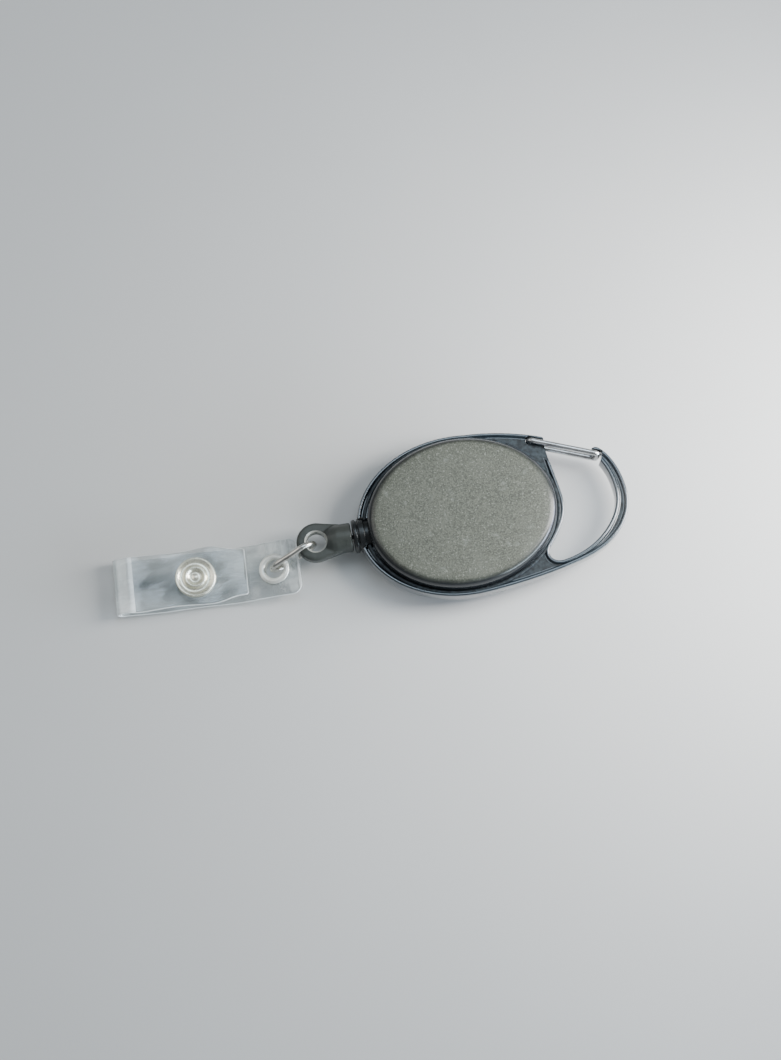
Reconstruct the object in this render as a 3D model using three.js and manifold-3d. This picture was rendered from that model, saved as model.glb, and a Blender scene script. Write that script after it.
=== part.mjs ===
// Retractable badge reel with a carabiner case, in millimetres.
// +X runs from the badge strap to the carabiner, +Z comes out of the front face.
// The origin is on the flat back of the case, on the axis that the spool turns about.
import * as THREE from "three";
import { mergeVertices } from "three/addons/utils/BufferGeometryUtils.js";
import Module from "manifold-3d";

// ---- driving dimensions --------------------------------------------------
const TOTAL_HEIGHT = 10.8; // back of the case to the front face
const CAP = { a: 20.0, b: 16.0 }; // semi-axes of the oval cup and cover
const RIM = { a: 22.2, b: 17.35 }; // semi-axes of the oval flange round them
const WALL = 1.5;
const FIT_GAP = 0.2; // between pieces that seat in each other
const FLANGE = { bottom: 3.4, top: 7.4, bevel: 0.45 };
const BEAD = { width: 0.6, ring: 0.9, height: 0.6 }; // raised edge of the flange, and ring round the cover
const SEAT = 6.4; // the cover sits on the cup's wall at this height
const COVER_BOTTOM = SEAT + FIT_GAP;
const COVER_ROOF = 1.4;
const CUP_FLOOR = 1.3;
const EDGE_RADIUS = 1.4; // rounded front edge of the cover
const POST = { radius: 2.0, top: 9.1, shoulder: 3.6, slot: 0.8, slotFloor: 3.9 }; // the spool's axle
const POST_SOCKET = { radius: 3.6, bottom: 8.15 }; // in the cover, over the end of the post
const BOSS = { radius: 1.8, top: 5.2, hole: 1.1 };
const PEG = { root: 1.6, bottom: 2.2 }; // of the cover, pressed into the bosses
const BOSSES = [[15.0, 5.5], [15.0, -5.5], [-15.0, -5.5]];
const CORD_HEIGHT = 5.4; // the cord leaves at this height above the back
const CORD_RADIUS = 0.45;

const GATE = { pivot: [17.2, 13.4], tip: [30.9, 7.7], wire: 0.6, spread: 1.8, swing: 28, room: 0.25 };
const GATE_WEB = { low: 4.55, high: 6.25 }; // thinner part of the case between its legs

const BUSHING = { neck: 3.2, collar: 3.6, rim: 4.0, bore: 0.85, neckStart: -18.1, collarStart: -20.6 };

const SPOOL = { flange: 13.4, hub: 10.2, pocket: 8.8, bottom: 2.9, sheet: 0.8, top: 7.9 };
const SPRING = { turns: 7.5, thickness: 0.28, width: 3.1, inner: 2.5, outer: 8.4 };
const SPRING_DISC = { inner: 2.6, outer: 9.6, bottom: 7.32, top: 7.72, lip: 0.65 };
const ANCHOR = { radius: 11.6, angle: 200, hole: 0.6 }; // where the cord is knotted to the spool

const PULL_START = [-23.2, 0, CORD_HEIGHT]; // mouth of the cord bushing
const PULL_DROOP = -1.2; // degrees that the end fitting sags off the X axis, toward -Y
const EYE = { at: 7.9, outer: 4.1, hole: 2.1, half: 1.4 }; // along the pull line
const BARREL = { radius: 3.1, start: 0.3, end: 6.9 }; // of the end fitting
const KNOT_ROOM = { bore: 0.75, radius: 1.15, start: 3.0, end: 5.2 }; // in the barrel, for the cord's end

const LINK = { length: 11.6, height: 6.4, wire: 0.64, pitch: 20 };
// The strap's own axes start under the snap: X along the strap, toward the eyelet.
const STRAP = {
  snapX: -57.2, snapY: -1.96, turn: -3.8, width: 12, thickness: 0.5, foldX: -15.7, foldRadius: 1.35,
  lowZ: 0.85, endX: 21.9, rise: 10, flapEndX: 10.7, flapEndWidth: 10.4,
};
const HALF_SHEET = STRAP.thickness / 2;
const FLAP_Z = STRAP.lowZ + 2 * STRAP.foldRadius; // middle of the folded-over end
const SNAP_RADIUS = 4.25;
const SNAP_HOLE = 1.35; // through both layers of the strap
const SNAP_RING = { radius: 2.38, wire: 0.15, z: 2.3 };
const EYELET = { x: 16.6, z: 2.7, hole: 2.0, flange: 3.25, barrel: 2.5 };

const OVAL_ROUND = 56; // facets of the ovals
const ROUND = 44; // facets of a large round piece
const SMALL_ROUND = 24;
const radians = THREE.MathUtils.degToRad;

// ---- materials -----------------------------------------------------------
const plain = (color, roughness, metalness = 0, opacity = 1) =>
  new THREE.MeshStandardMaterial({ color, roughness, metalness, opacity, transparent: opacity < 1 });
const glossBlack = plain(0x15181a, 0.15);
const satinGrey = plain(0x6b6e68, 0.55);
const satinBlack = plain(0x2c2f2e, 0.45);
const white = plain(0xd8d6cc, 0.5);
const springSteel = plain(0x8a8d90, 0.3, 1);
const nickel = plain(0xd9d6c8, 0.22, 1);
const nylon = plain(0x141414, 0.8);
const vinyl = plain(0xdfe8ea, 0.12, 0, 0.35);

// ---- solids --------------------------------------------------------------
const wasm = await Module();
wasm.setup();

function solid(geometry) {
  const bare = geometry.index ? geometry.toNonIndexed() : geometry.clone();
  bare.deleteAttribute("normal");
  bare.deleteAttribute("uv");
  const merged = mergeVertices(bare, 1e-4);
  const corners = merged.index.array;
  const triangles = [];
  for (let i = 0; i < corners.length; i += 3) {
    const [a, b, c] = corners.subarray(i, i + 3);
    if (a !== b && b !== c && c !== a) triangles.push(a, b, c);
  }
  return new wasm.Manifold(
    new wasm.Mesh({
      numProp: 3,
      vertProperties: merged.attributes.position.array,
      triVerts: new Uint32Array(triangles),
    }),
  );
}

function geometryOf(body) {
  const { numProp, numVert, vertProperties, triVerts } = body.getMesh();
  const positions = new Float32Array(numVert * 3);
  for (let i = 0; i < numVert; i++)
    positions.set(vertProperties.subarray(i * numProp, i * numProp + 3), i * 3);
  return new THREE.BufferGeometry()
    .setAttribute("position", new THREE.BufferAttribute(positions, 3))
    .setIndex(new THREE.BufferAttribute(triVerts, 1));
}

const part = new THREE.Group();

function add(name, shape, material, parent = part) {
  const geometry = shape.isBufferGeometry ? shape : geometryOf(shape);
  geometry.computeVertexNormals();
  const mesh = new THREE.Mesh(geometry, material);
  mesh.name = name;
  parent.add(mesh);
  return mesh;
}

// A group whose local axes are the given three unit vectors.
function placed(position, x, y, z) {
  const group = new THREE.Group();
  group.position.set(...position);
  group.quaternion.setFromRotationMatrix(new THREE.Matrix4().makeBasis(x, y, z));
  part.add(group);
  return group;
}

// ---- shape helpers -------------------------------------------------------
// A profile of [radius, height] points turned about Z.
function turned(points, facets = ROUND) {
  const profile = points.map(([r, z]) => new THREE.Vector2(r, z));
  return new THREE.LatheGeometry(profile, facets).rotateX(Math.PI / 2);
}

// The same, closed on itself, for a ring with a hole through it.
const turnedRing = (points, facets) => turned([...points, points[0]], facets);

const disc = (radius, low, high, facets) =>
  turned([[0, low], [radius, low], [radius, high], [0, high]], facets);

// A round piece stretched into an oval: radii are along X.
const oval = (geometry, { a, b }) => geometry.scale(1, b / a, 1);

function extruded(shape, low, high, bevel = 0, curveSegments = 24) {
  const options = { depth: high - low - 2 * bevel, curveSegments, bevelEnabled: bevel > 0 };
  if (bevel) {
    Object.assign(options, { bevelThickness: bevel, bevelSize: bevel });
    Object.assign(options, { bevelOffset: -bevel, bevelSegments: 3 });
  }
  return new THREE.ExtrudeGeometry(shape, options).translate(0, 0, low + bevel);
}

const box = (x0, x1, y0, y1, z0, z1) =>
  new THREE.BoxGeometry(x1 - x0, y1 - y0, z1 - z0).translate((x0 + x1) / 2, (y0 + y1) / 2, (z0 + z1) / 2);

const rod = (radius, low, high, x = 0, y = 0, facets = SMALL_ROUND) =>
  disc(radius, low, high, facets).translate(x, y, 0);

// A quarter circle of [radius, height] points, from one angle to another, in degrees.
function arcPoints(r, z, radius, from, to, steps = 5) {
  return Array.from({ length: steps + 1 }, (_, i) => {
    const angle = radians(from + ((to - from) * i) / steps);
    return [r + radius * Math.cos(angle), z + radius * Math.sin(angle)];
  });
}

// A path of straight runs joined by rounded corners.
class RoundedPath extends THREE.Curve {
  constructor(points, cornerRadius) {
    super();
    this.path = new THREE.CurvePath();
    let from = points[0];
    for (let i = 1; i < points.length - 1; i++) {
      const into = points[i].clone().sub(points[i - 1]).normalize();
      const out = points[i + 1].clone().sub(points[i]).normalize();
      const start = points[i].clone().addScaledVector(into, -cornerRadius);
      const end = points[i].clone().addScaledVector(out, cornerRadius);
      this.path.add(new THREE.LineCurve3(from, start));
      this.path.add(new THREE.QuadraticBezierCurve3(start, points[i].clone(), end));
      from = end;
    }
    this.path.add(new THREE.LineCurve3(from, points.at(-1)));
  }
  getPoint(t, target = new THREE.Vector3()) {
    return target.copy(this.path.getPoint(t));
  }
}

function wireAlong(curve, radius, steps, facets = 10) {
  const section = new THREE.Shape().absarc(0, 0, radius, 0, 2 * Math.PI);
  return new THREE.ExtrudeGeometry(section, { steps, extrudePath: curve, curveSegments: facets / 2 });
}

// ---- case: oval cup, flange and carabiner hook in one moulding -----------
function frameOutline() {
  const s = new THREE.Shape();
  s.moveTo(20.0, 13.6); // shoulder that carries the gate
  s.bezierCurveTo(16.8, 14.9, 10.5, 16.75, 4.0, RIM.b * Math.sqrt(1 - (4.0 / RIM.a) ** 2));
  s.absellipse(0, 0, RIM.a, RIM.b, Math.acos(4.0 / RIM.a), 1.5 * Math.PI + 0.07);
  s.bezierCurveTo(9.5, -16.95, 18.0, -15.6, 24.1, -13.9); // outside of the hook
  s.bezierCurveTo(30.3, -12.1, 35.2, -7.6, 35.2, -1.6);
  s.bezierCurveTo(35.2, 2.6, 33.7, 7.0, 31.3, 9.0);
  s.bezierCurveTo(30.4, 9.7, 29.3, 9.2, 29.7, 8.1); // nose
  s.bezierCurveTo(31.8, 5.4, 32.7, 2.4, 32.7, -0.8); // inside of the hook
  s.bezierCurveTo(32.7, -6.6, 26.6, -12.6, 19.0, -13.5);
  s.bezierCurveTo(16.9, -13.8, 15.4, -11.9, 16.9, -10.1); // heel
  s.bezierCurveTo(19.0, -7.9, 21.6, -4.6, 21.6, -1.0);
  s.bezierCurveTo(21.6, 2.2, 20.5, 6.5, 20.2, 12.0);
  s.bezierCurveTo(20.2, 12.9, 20.5, 13.3, 20.0, 13.6);
  return s;
}

// The sunken web: the flange on the hook's side, within its beaded edge and outside the cover's ring.
function webPocket() {
  const outer = frameOutline().getPoints(10);
  const clearOfEdge = (p) => outer.every((q) => q.distanceTo(p) > BEAD.width - 0.01);
  const inset = outer.slice(1).map((point, i) => {
    const along = outer[(i + 2) % outer.length].clone().sub(outer[i]).normalize();
    return new THREE.Vector2(point.x - along.y * BEAD.width, point.y + along.x * BEAD.width);
  });
  const ring = { a: CAP.a + BEAD.ring, b: CAP.b + BEAD.ring };
  const keep = solid(oval(disc(ring.a, -1, 20, OVAL_ROUND), ring));
  const plainRim = solid(box(-30, 8, -30, 30, -1, 20));
  return solid(extruded(new THREE.Shape(inset.filter(clearOfEdge)), 0, BEAD.height))
    .subtract(keep)
    .subtract(plainRim);
}

// The room that the two legs of the gate sweep over, in front of and behind a thinner web.
function gateSweep() {
  const [px, py] = GATE.pivot;
  const { closed, open, reach, clear } = gateReach();
  const at = (angle, along, aside) => [
    px + along * Math.cos(angle) - aside * Math.sin(angle),
    py + along * Math.sin(angle) + aside * Math.cos(angle),
  ];
  const s = new THREE.Shape();
  s.moveTo(...at(closed, reach, clear));
  s.lineTo(...at(closed, 0, clear));
  s.absarc(px, py, clear, closed + Math.PI / 2, open + 1.5 * Math.PI);
  s.lineTo(...at(open, reach, -clear));
  s.absarc(px, py, reach, open, closed);
  return s;
}

// The room that its closed end sweeps, through the whole thickness.
function gateEndSweep() {
  const [px, py] = GATE.pivot;
  const { closed, open, reach, clear } = gateReach();
  const over = (GATE.wire + 0.15) / reach;
  const s = new THREE.Shape();
  s.absarc(px, py, reach, open - over, closed + over);
  s.absarc(px, py, reach - 2 * clear, closed + over, open - over, true);
  return s;
}

function gateReach() {
  const dx = GATE.tip[0] - GATE.pivot[0];
  const dy = GATE.tip[1] - GATE.pivot[1];
  const closed = Math.atan2(dy, dx);
  const clear = GATE.wire + GATE.room;
  return { closed, open: closed - radians(GATE.swing + 3), reach: Math.hypot(dx, dy) + clear, clear };
}

// The round seat that the cord bushing is trapped in, along X.
function bushingSeat() {
  const { neck, collar, rim, neckStart, collarStart } = BUSHING;
  const inner = neckStart + 0.8;
  const outside = -30;
  const profile = [
    [0, inner], [rim + FIT_GAP, inner], [rim + FIT_GAP, neckStart],
    [neck + FIT_GAP, neckStart], [neck + FIT_GAP, collarStart],
    [collar + FIT_GAP, collarStart], [collar + FIT_GAP, outside], [0, outside],
  ].reverse();
  return solid(turned(profile).rotateY(Math.PI / 2).translate(0, 0, CORD_HEIGHT));
}

function caseShell() {
  const cupProfile = [
    [0, 0], ...arcPoints(CAP.a - 1.2, 1.2, 1.2, -90, 0, 4), [CAP.a, SEAT],
    [CAP.a - WALL, SEAT], [CAP.a - WALL, CUP_FLOOR], [0, CUP_FLOOR],
  ];
  const seat = { a: CAP.a + FIT_GAP, b: CAP.b + FIT_GAP };
  const cup = solid(oval(turned(cupProfile, OVAL_ROUND), CAP));
  const inside = solid(oval(disc(CAP.a - WALL, CUP_FLOOR, 20, OVAL_ROUND), CAP));
  const coverRoom = solid(oval(disc(seat.a, SEAT, 20, OVAL_ROUND), seat));
  const flange = solid(extruded(frameOutline(), FLANGE.bottom, FLANGE.top, FLANGE.bevel, 11));
  let body = cup.add(flange.subtract(inside).subtract(coverRoom));

  const pocket = webPocket();
  body = body.subtract(pocket.translate([0, 0, FLANGE.top - BEAD.height]));
  const backRoom = pocket.translate([0, 0, FLANGE.bottom]);
  body = body.subtract(backRoom);

  const sweep = gateSweep();
  body = body.subtract(solid(extruded(sweep, GATE_WEB.high, 12)));
  body = body.subtract(solid(extruded(sweep, -2, GATE_WEB.low)));
  body = body.subtract(solid(extruded(gateEndSweep(), -2, 12)));
  body = body.subtract(solid(rod(GATE.wire + 0.2, 0, 9, ...GATE.pivot, 20)));

  for (const [x, y] of BOSSES) {
    const boss = solid(rod(BOSS.radius, CUP_FLOOR - 0.2, BOSS.top, x, y, 20));
    body = body.add(boss).subtract(solid(rod(BOSS.hole, CUP_FLOOR + 0.5, 8, x, y, 16)));
  }
  const slot = solid(box(-3, 3, -POST.slot / 2, POST.slot / 2, POST.slotFloor, 12));
  const post = solid(rod(POST.radius, CUP_FLOOR - 0.2, POST.top)).subtract(slot);
  const shoulder = solid(rod(POST.shoulder, CUP_FLOOR - 0.2, SPOOL.bottom - FIT_GAP));
  return body.add(shoulder).add(post).subtract(bushingSeat());
}

function frontCover() {
  const inner = CAP.a - WALL;
  const ceiling = TOTAL_HEIGHT - COVER_ROOF;
  const skin = [
    [0, TOTAL_HEIGHT],
    ...arcPoints(CAP.a - EDGE_RADIUS, TOTAL_HEIGHT - EDGE_RADIUS, EDGE_RADIUS, 90, 0, 6),
    [CAP.a, COVER_BOTTOM], [inner, COVER_BOTTOM], [inner, ceiling - 0.4], [inner - 0.8, ceiling],
    [0, ceiling],
  ].reverse();
  // A lip that reaches down inside the cup's wall, and the step that joins it to the cover.
  const lip = { inner: inner - FIT_GAP - 0.7, outer: inner - FIT_GAP, low: 5.5, high: COVER_BOTTOM + 0.6 };
  const step = CAP.a - 0.5;
  const lipProfile = [
    [lip.inner, lip.low], [lip.outer, lip.low], [lip.outer, lip.high], [lip.inner, lip.high],
  ];
  const stepProfile = [
    [lip.inner, COVER_BOTTOM], [step, COVER_BOTTOM], [step, lip.high], [lip.inner, lip.high],
  ];
  let body = solid(oval(turned(skin, OVAL_ROUND), CAP));
  body = body.add(solid(oval(turnedRing(lipProfile, OVAL_ROUND), CAP)));
  body = body.add(solid(oval(turnedRing(stepProfile, OVAL_ROUND), CAP)));

  const root = ceiling + 0.2; // a little inside the cover's skin
  const { radius, bottom } = POST_SOCKET;
  const bore = POST.radius + FIT_GAP;
  body = body.add(solid(turnedRing([[bore, bottom], [radius, bottom], [radius, root], [bore, root]])));
  for (const [x, y] of BOSSES) {
    const peg = solid(rod(BOSS.hole - FIT_GAP, PEG.bottom, root, x, y, 16));
    const shoulder = solid(rod(PEG.root, BOSS.top + 0.3, root, x, y, 16));
    body = body.add(shoulder).add(peg);
  }
  return body.subtract(bushingSeat());
}

function cordBushing() {
  const { neck, collar, rim, bore, neckStart, collarStart } = BUSHING;
  const mouth = PULL_START[0];
  const groove = collar - 0.45;
  const profile = [
    [2.6, neckStart + 0.7], [rim, neckStart + 0.7], [rim, neckStart + 0.1], [neck, neckStart + 0.1],
    [neck, collarStart - 0.1], ...arcPoints(collar - 0.3, collarStart - 0.4, 0.3, 90, 0, 3),
    [collar, mouth + 1.35], [groove, mouth + 1.2], [groove, mouth + 0.95], [collar - 0.2, mouth + 0.8],
    ...arcPoints(collar - 0.5, mouth + 0.3, 0.3, 0, -90, 3),
    [1.5, mouth], [bore, mouth + 0.5], [bore, mouth + 2.0],
  ];
  return turnedRing(profile.reverse(), 32).rotateY(Math.PI / 2).translate(0, 0, CORD_HEIGHT);
}

add("carabiner_case", caseShell(), glossBlack);
add("front_cover", frontCover(), satinGrey);
add("cord_bushing", cordBushing(), satinBlack);

// ---- wire gate -----------------------------------------------------------
function gateWire() {
  const middle = (GATE_WEB.low + GATE_WEB.high) / 2;
  const corner = ([x, y], side, inset = 0) =>
    new THREE.Vector3(x, y, middle + side * (GATE.spread - inset));
  const stub = GATE.spread - 0.35;
  const points = [
    corner(GATE.pivot, 1, stub), corner(GATE.pivot, 1), corner(GATE.tip, 1),
    corner(GATE.tip, -1), corner(GATE.pivot, -1), corner(GATE.pivot, -1, stub),
  ];
  return wireAlong(new RoundedPath(points, 0.75), GATE.wire, 64, 10);
}
add("gate_wire", gateWire(), springSteel);

// ---- spool, power spring and cord ----------------------------------------
const POCKET_FLOOR = SPOOL.bottom + SPOOL.sheet;
const SPRING_START = radians(14);
const SPRING_END = SPRING_START + 2 * Math.PI * SPRING.turns;
const anchorAngle = radians(ANCHOR.angle);
const anchorAt = [ANCHOR.radius * Math.cos(anchorAngle), ANCHOR.radius * Math.sin(anchorAngle)];

function spool() {
  const { flange, hub, pocket, bottom, sheet, top } = SPOOL;
  const bore = POST.radius + FIT_GAP;
  const ledge = { radius: pocket + 0.8, z: top - SPRING_DISC.lip }; // the spring's disc lies on it
  const profile = [
    [bore, bottom], [flange, bottom], [flange, bottom + sheet], [hub, bottom + sheet],
    [hub, top - sheet], [flange, top - sheet], [flange, top], [ledge.radius, top],
    [ledge.radius, ledge.z], [pocket, ledge.z], [pocket, POCKET_FLOOR], [bore, POCKET_FLOOR],
  ];
  const notch = box(pocket - 0.5, pocket + 0.9, -0.7, 0.7, POCKET_FLOOR, ledge.z);
  return solid(turnedRing(profile))
    .subtract(solid(notch.rotateZ(SPRING_END + 0.1)))
    .subtract(solid(rod(ANCHOR.hole, bottom - 1, bottom + 1.5, ...anchorAt, 12)));
}

// A flat strip wound from the slot in the post out to the notch in the spool.
function powerSpring() {
  const centre = [[-1.5, 0], [0, 0], [1.9, 0]];
  const steps = Math.round(SPRING.turns * 22);
  for (let i = 0; i <= steps; i++) {
    const share = i / steps;
    const angle = SPRING_START + (SPRING_END - SPRING_START) * share;
    const radius = SPRING.inner + (SPRING.outer - SPRING.inner) * share;
    centre.push([radius * Math.cos(angle), radius * Math.sin(angle)]);
  }
  const hook = (radius, turn) => {
    const angle = SPRING_END + turn;
    return [radius * Math.cos(angle), radius * Math.sin(angle)];
  };
  centre.push(hook(SPRING.outer + 0.35, 0.09), hook(SPRING.outer + 1.0, 0.11));
  const side = (sign) =>
    centre.map(([x, y], i) => {
      const [ax, ay] = centre[Math.max(i - 1, 0)];
      const [bx, by] = centre[Math.min(i + 1, centre.length - 1)];
      const length = Math.hypot(bx - ax, by - ay);
      const half = (sign * SPRING.thickness) / 2;
      return new THREE.Vector2(x - (half * (by - ay)) / length, y + (half * (bx - ax)) / length);
    });
  const strip = new THREE.Shape([...side(-1), ...side(1).reverse()]);
  const low = POCKET_FLOOR + FIT_GAP;
  return extruded(strip, low, low + SPRING.width);
}

// The cord runs from the spool, straight to the bushing and out along its bore.
function cordLead() {
  const start = SPOOL.flange + 0.1;
  const inside = -19.4;
  const angle = Math.acos(start / -inside);
  const point = (x, y) => new THREE.Vector3(x, y, CORD_HEIGHT);
  const leaves = point(-start * Math.cos(angle), start * Math.sin(angle));
  const points = [leaves, point(inside, 0), point(PULL_START[0] + 0.2, 0)];
  return wireAlong(new RoundedPath(points, 1.6), CORD_RADIUS, 26, 8);
}

function cordWinding() {
  const low = POCKET_FLOOR + 0.15;
  const high = SPOOL.top - SPOOL.sheet - 0.15;
  const out = SPOOL.flange - 0.5;
  const profile = [[SPOOL.hub + 0.15, low], [out, low + 0.2], [out, high - 0.2], [SPOOL.hub + 0.15, high]];
  return turnedRing(profile, ROUND);
}

function springDisc() {
  const { inner, outer, bottom, top } = SPRING_DISC;
  return turnedRing([[inner, bottom], [outer, bottom], [outer, top], [inner, top]]);
}

function knot(radius, length) {
  const half = length / 2;
  const profile = [
    [0, -half], [radius * 0.7, -half * 0.75], [radius, -half * 0.1], [radius * 0.8, half * 0.6], [0, half],
  ];
  return turned(profile, 16);
}

const anchorKnot = solid(knot(0.75, 1.2).translate(anchorAt[0], anchorAt[1], SPOOL.bottom - 0.75))
  .add(solid(rod(CORD_RADIUS - 0.05, SPOOL.bottom - 0.9, POCKET_FLOOR + 0.05, ...anchorAt, 10)));

add("spool", spool(), white);
add("power_spring", powerSpring(), springSteel);
add("spring_cover_disc", springDisc(), springSteel);
add("cord_winding", cordWinding(), nylon);
add("cord_anchor_knot", anchorKnot, nylon);
add("cord_lead", cordLead(), nylon);

// ---- what the cord pulls: end fitting with its knot ----------------------
const droop = radians(PULL_DROOP);
const pullAxis = new THREE.Vector3(-Math.cos(droop), -Math.sin(droop), 0);
const up = new THREE.Vector3(0, 0, 1);
const pullSide = up.clone().cross(pullAxis);
const pullLine = placed(PULL_START, pullAxis, pullSide, up);
// Profiles turned about Z are laid along the pull line, which is local X.
const alongPull = (geometry) => geometry.rotateY(Math.PI / 2);

function endFitting() {
  const { radius, start, end } = BARREL;
  const barrel = [
    [0, start], [radius - 0.3, start], [radius, start + 0.25], [radius, 3.6], [radius - 0.2, 4.6],
    [2.3, 5.8], [1.2, end], [0, end],
  ];
  const { half, outer } = EYE;
  const s = new THREE.Shape();
  const tangent = radians(106); // the eye's round outline meets its straight sides here
  s.moveTo(2.6, 0.1 - radius);
  s.lineTo(EYE.at + outer * Math.cos(tangent), -outer * Math.sin(tangent));
  s.absarc(EYE.at, 0, outer, -tangent, tangent);
  s.lineTo(2.6, radius - 0.1);
  s.lineTo(2.6, 0.1 - radius);
  const eye = solid(extruded(s, -half, half, 0.45, 16));
  const hole = solid(turned([
    [0, -4], [EYE.hole + 0.3, -4], [EYE.hole + 0.3, -half + 0.2], [EYE.hole, -half + 0.5],
    [EYE.hole, half - 0.5], [EYE.hole + 0.3, half - 0.2], [EYE.hole + 0.3, 4], [0, 4],
  ], 32).translate(EYE.at, 0, 0));
  const room = KNOT_ROOM;
  const bore = turned([
    [0, -1], [room.bore, -1], [room.bore, room.start - 0.4], [room.radius, room.start],
    [room.radius, room.end], [0, room.end],
  ], 16);
  return solid(alongPull(turned(barrel, 36))).add(eye).subtract(hole).subtract(solid(alongPull(bore)));
}

function cordTip() {
  return alongPull(rod(CORD_RADIUS, 0.02, 3.15, 0, 0, 10));
}

add("end_fitting", endFitting(), satinBlack, pullLine);
add("cord_tip", cordTip(), nylon, pullLine);
add("cord_end_knot", alongPull(knot(1.0, 1.8).translate(0, 0, 4.15)), nylon, pullLine);

// ---- wire link between the fitting's eye and the strap -------------------
const strapTurn = radians(STRAP.turn);
const onStrap = placed(
  [STRAP.snapX, STRAP.snapY, 0],
  new THREE.Vector3(Math.cos(strapTurn), Math.sin(strapTurn), 0),
  new THREE.Vector3(-Math.sin(strapTurn), Math.cos(strapTurn), 0),
  up,
);
onStrap.updateMatrix();
const eyeCentre = new THREE.Vector3(...PULL_START).addScaledVector(pullAxis, EYE.at);
const eyeletCentre = new THREE.Vector3(EYELET.x, 0, EYELET.z).applyMatrix4(onStrap.matrix);
const linkHeading = new THREE.Vector3().subVectors(eyeletCentre, eyeCentre).setZ(0).normalize();
const linkSide = up.clone().cross(linkHeading);
const linkAxis = linkHeading.clone().applyAxisAngle(linkSide, radians(LINK.pitch));
const linkNearArc = eyeCentre.clone().addScaledVector(linkHeading, EYE.hole + 1.0);
const linkStraight = LINK.length - LINK.height;

// Two straight legs and two half-round ends, open by a hair where the wire's ends meet.
class LinkPath extends THREE.Curve {
  getPoint(t, target = new THREE.Vector3()) {
    const radius = LINK.height / 2 - LINK.wire;
    const arc = Math.PI * radius;
    const seam = 0.15;
    const half = linkStraight / 2;
    // A point on the round end that lies beyond side * half, from the leg at -z when side is -1.
    const onArc = (side, run) => {
      const angle = run / radius;
      return target.set(side * (half + radius * Math.sin(angle)), 0, side * radius * Math.cos(angle));
    };
    let run = seam + t * (2 * (linkStraight + arc) - 2 * seam) + half;
    if (run < linkStraight) return target.set(half - run, 0, -radius);
    run -= linkStraight;
    if (run < arc) return onArc(-1, run);
    run -= arc;
    if (run < linkStraight) return target.set(run - half, 0, radius);
    run -= linkStraight;
    if (run < arc) return onArc(1, run);
    return target.set(half - (run - arc), 0, -radius);
  }
}

const linkCentre = linkNearArc.clone().addScaledVector(linkAxis, linkStraight / 2);
const link = placed(linkCentre.toArray(), linkAxis, linkSide, linkAxis.clone().cross(linkSide));
add("wire_link", wireAlong(new LinkPath(), LINK.wire, 48), nickel, link);

// ---- vinyl strap ---------------------------------------------------------
const slope = Math.tan(radians(STRAP.rise));
const tailHeight = (x) => EYELET.z + (x - EYELET.x) * slope; // of the raised end

// A sheet whose side view follows the given centre line, as wide as the strap.
function sheetAlong(curve, steps) {
  const points = curve.getSpacedPoints(steps);
  const side = (sign) =>
    points.map((p, i) => {
      const tangent = curve.getTangentAt(i / steps);
      const out = sign * HALF_SHEET;
      return new THREE.Vector2(p.x - out * tangent.y, p.y + out * tangent.x);
    });
  const shape = new THREE.Shape([...side(-1), ...side(1).reverse()]);
  const depth = STRAP.width;
  return new THREE.ExtrudeGeometry(shape, { depth, bevelEnabled: false })
    .rotateX(Math.PI / 2)
    .translate(0, depth / 2, 0);
}

// The strap's outline seen from above, with rounded corners at its free end.
function planOutline(x0, x1, endWidth, corner) {
  const side = STRAP.width / 2;
  const wide = side + 0.5;
  const narrow = endWidth / 2;
  const taper = x1 - 8; // the sides begin to draw in here
  const s = new THREE.Shape();
  s.moveTo(x0, -wide);
  s.lineTo(taper, -wide);
  s.lineTo(taper, -side);
  s.bezierCurveTo(taper + 4, -side, x1 - 3, -narrow, x1 - corner, -narrow);
  s.absarc(x1 - corner, -narrow + corner, corner, -Math.PI / 2, 0);
  s.absarc(x1 - corner, narrow - corner, corner, 0, Math.PI / 2);
  s.bezierCurveTo(x1 - 3, narrow, taper + 4, side, taper, side);
  s.lineTo(taper, wide);
  s.lineTo(x0, wide);
  s.lineTo(x0, -wide);
  return solid(extruded(s, -5, 20, 0, 8));
}

// A frame on the raised end of the tail, at the eyelet, with its Z square to the sheet.
const onTail = new THREE.Group();
onTail.position.set(EYELET.x, 0, EYELET.z);
onTail.rotation.y = -radians(STRAP.rise);
onTail.updateMatrix();
onStrap.add(onTail);

function strapTail() {
  const end = STRAP.endX + 2;
  const curve = new RoundedPath([
    new THREE.Vector3(STRAP.foldX, STRAP.lowZ, 0),
    new THREE.Vector3(EYELET.x + (STRAP.lowZ - EYELET.z) / slope, STRAP.lowZ, 0),
    new THREE.Vector3(end, tailHeight(end), 0),
  ], 3);
  const eyeletHole = solid(rod(EYELET.barrel, -4, 4).applyMatrix4(onTail.matrix));
  return solid(sheetAlong(curve, 24))
    .intersect(planOutline(STRAP.foldX - 1, STRAP.endX, STRAP.width, 2))
    .subtract(eyeletHole)
    .subtract(solid(rod(SNAP_HOLE, -1, 2)));
}

function strapFlap() {
  const { foldX, flapEndX, flapEndWidth, width } = STRAP;
  const sheet = box(
    foldX, flapEndX + 1, -width / 2, width / 2, FLAP_Z - HALF_SHEET, FLAP_Z + HALF_SHEET,
  );
  return solid(sheet)
    .intersect(planOutline(foldX - 1, flapEndX, flapEndWidth, 1.6))
    .subtract(solid(rod(SNAP_HOLE, 2, 5)));
}

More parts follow.
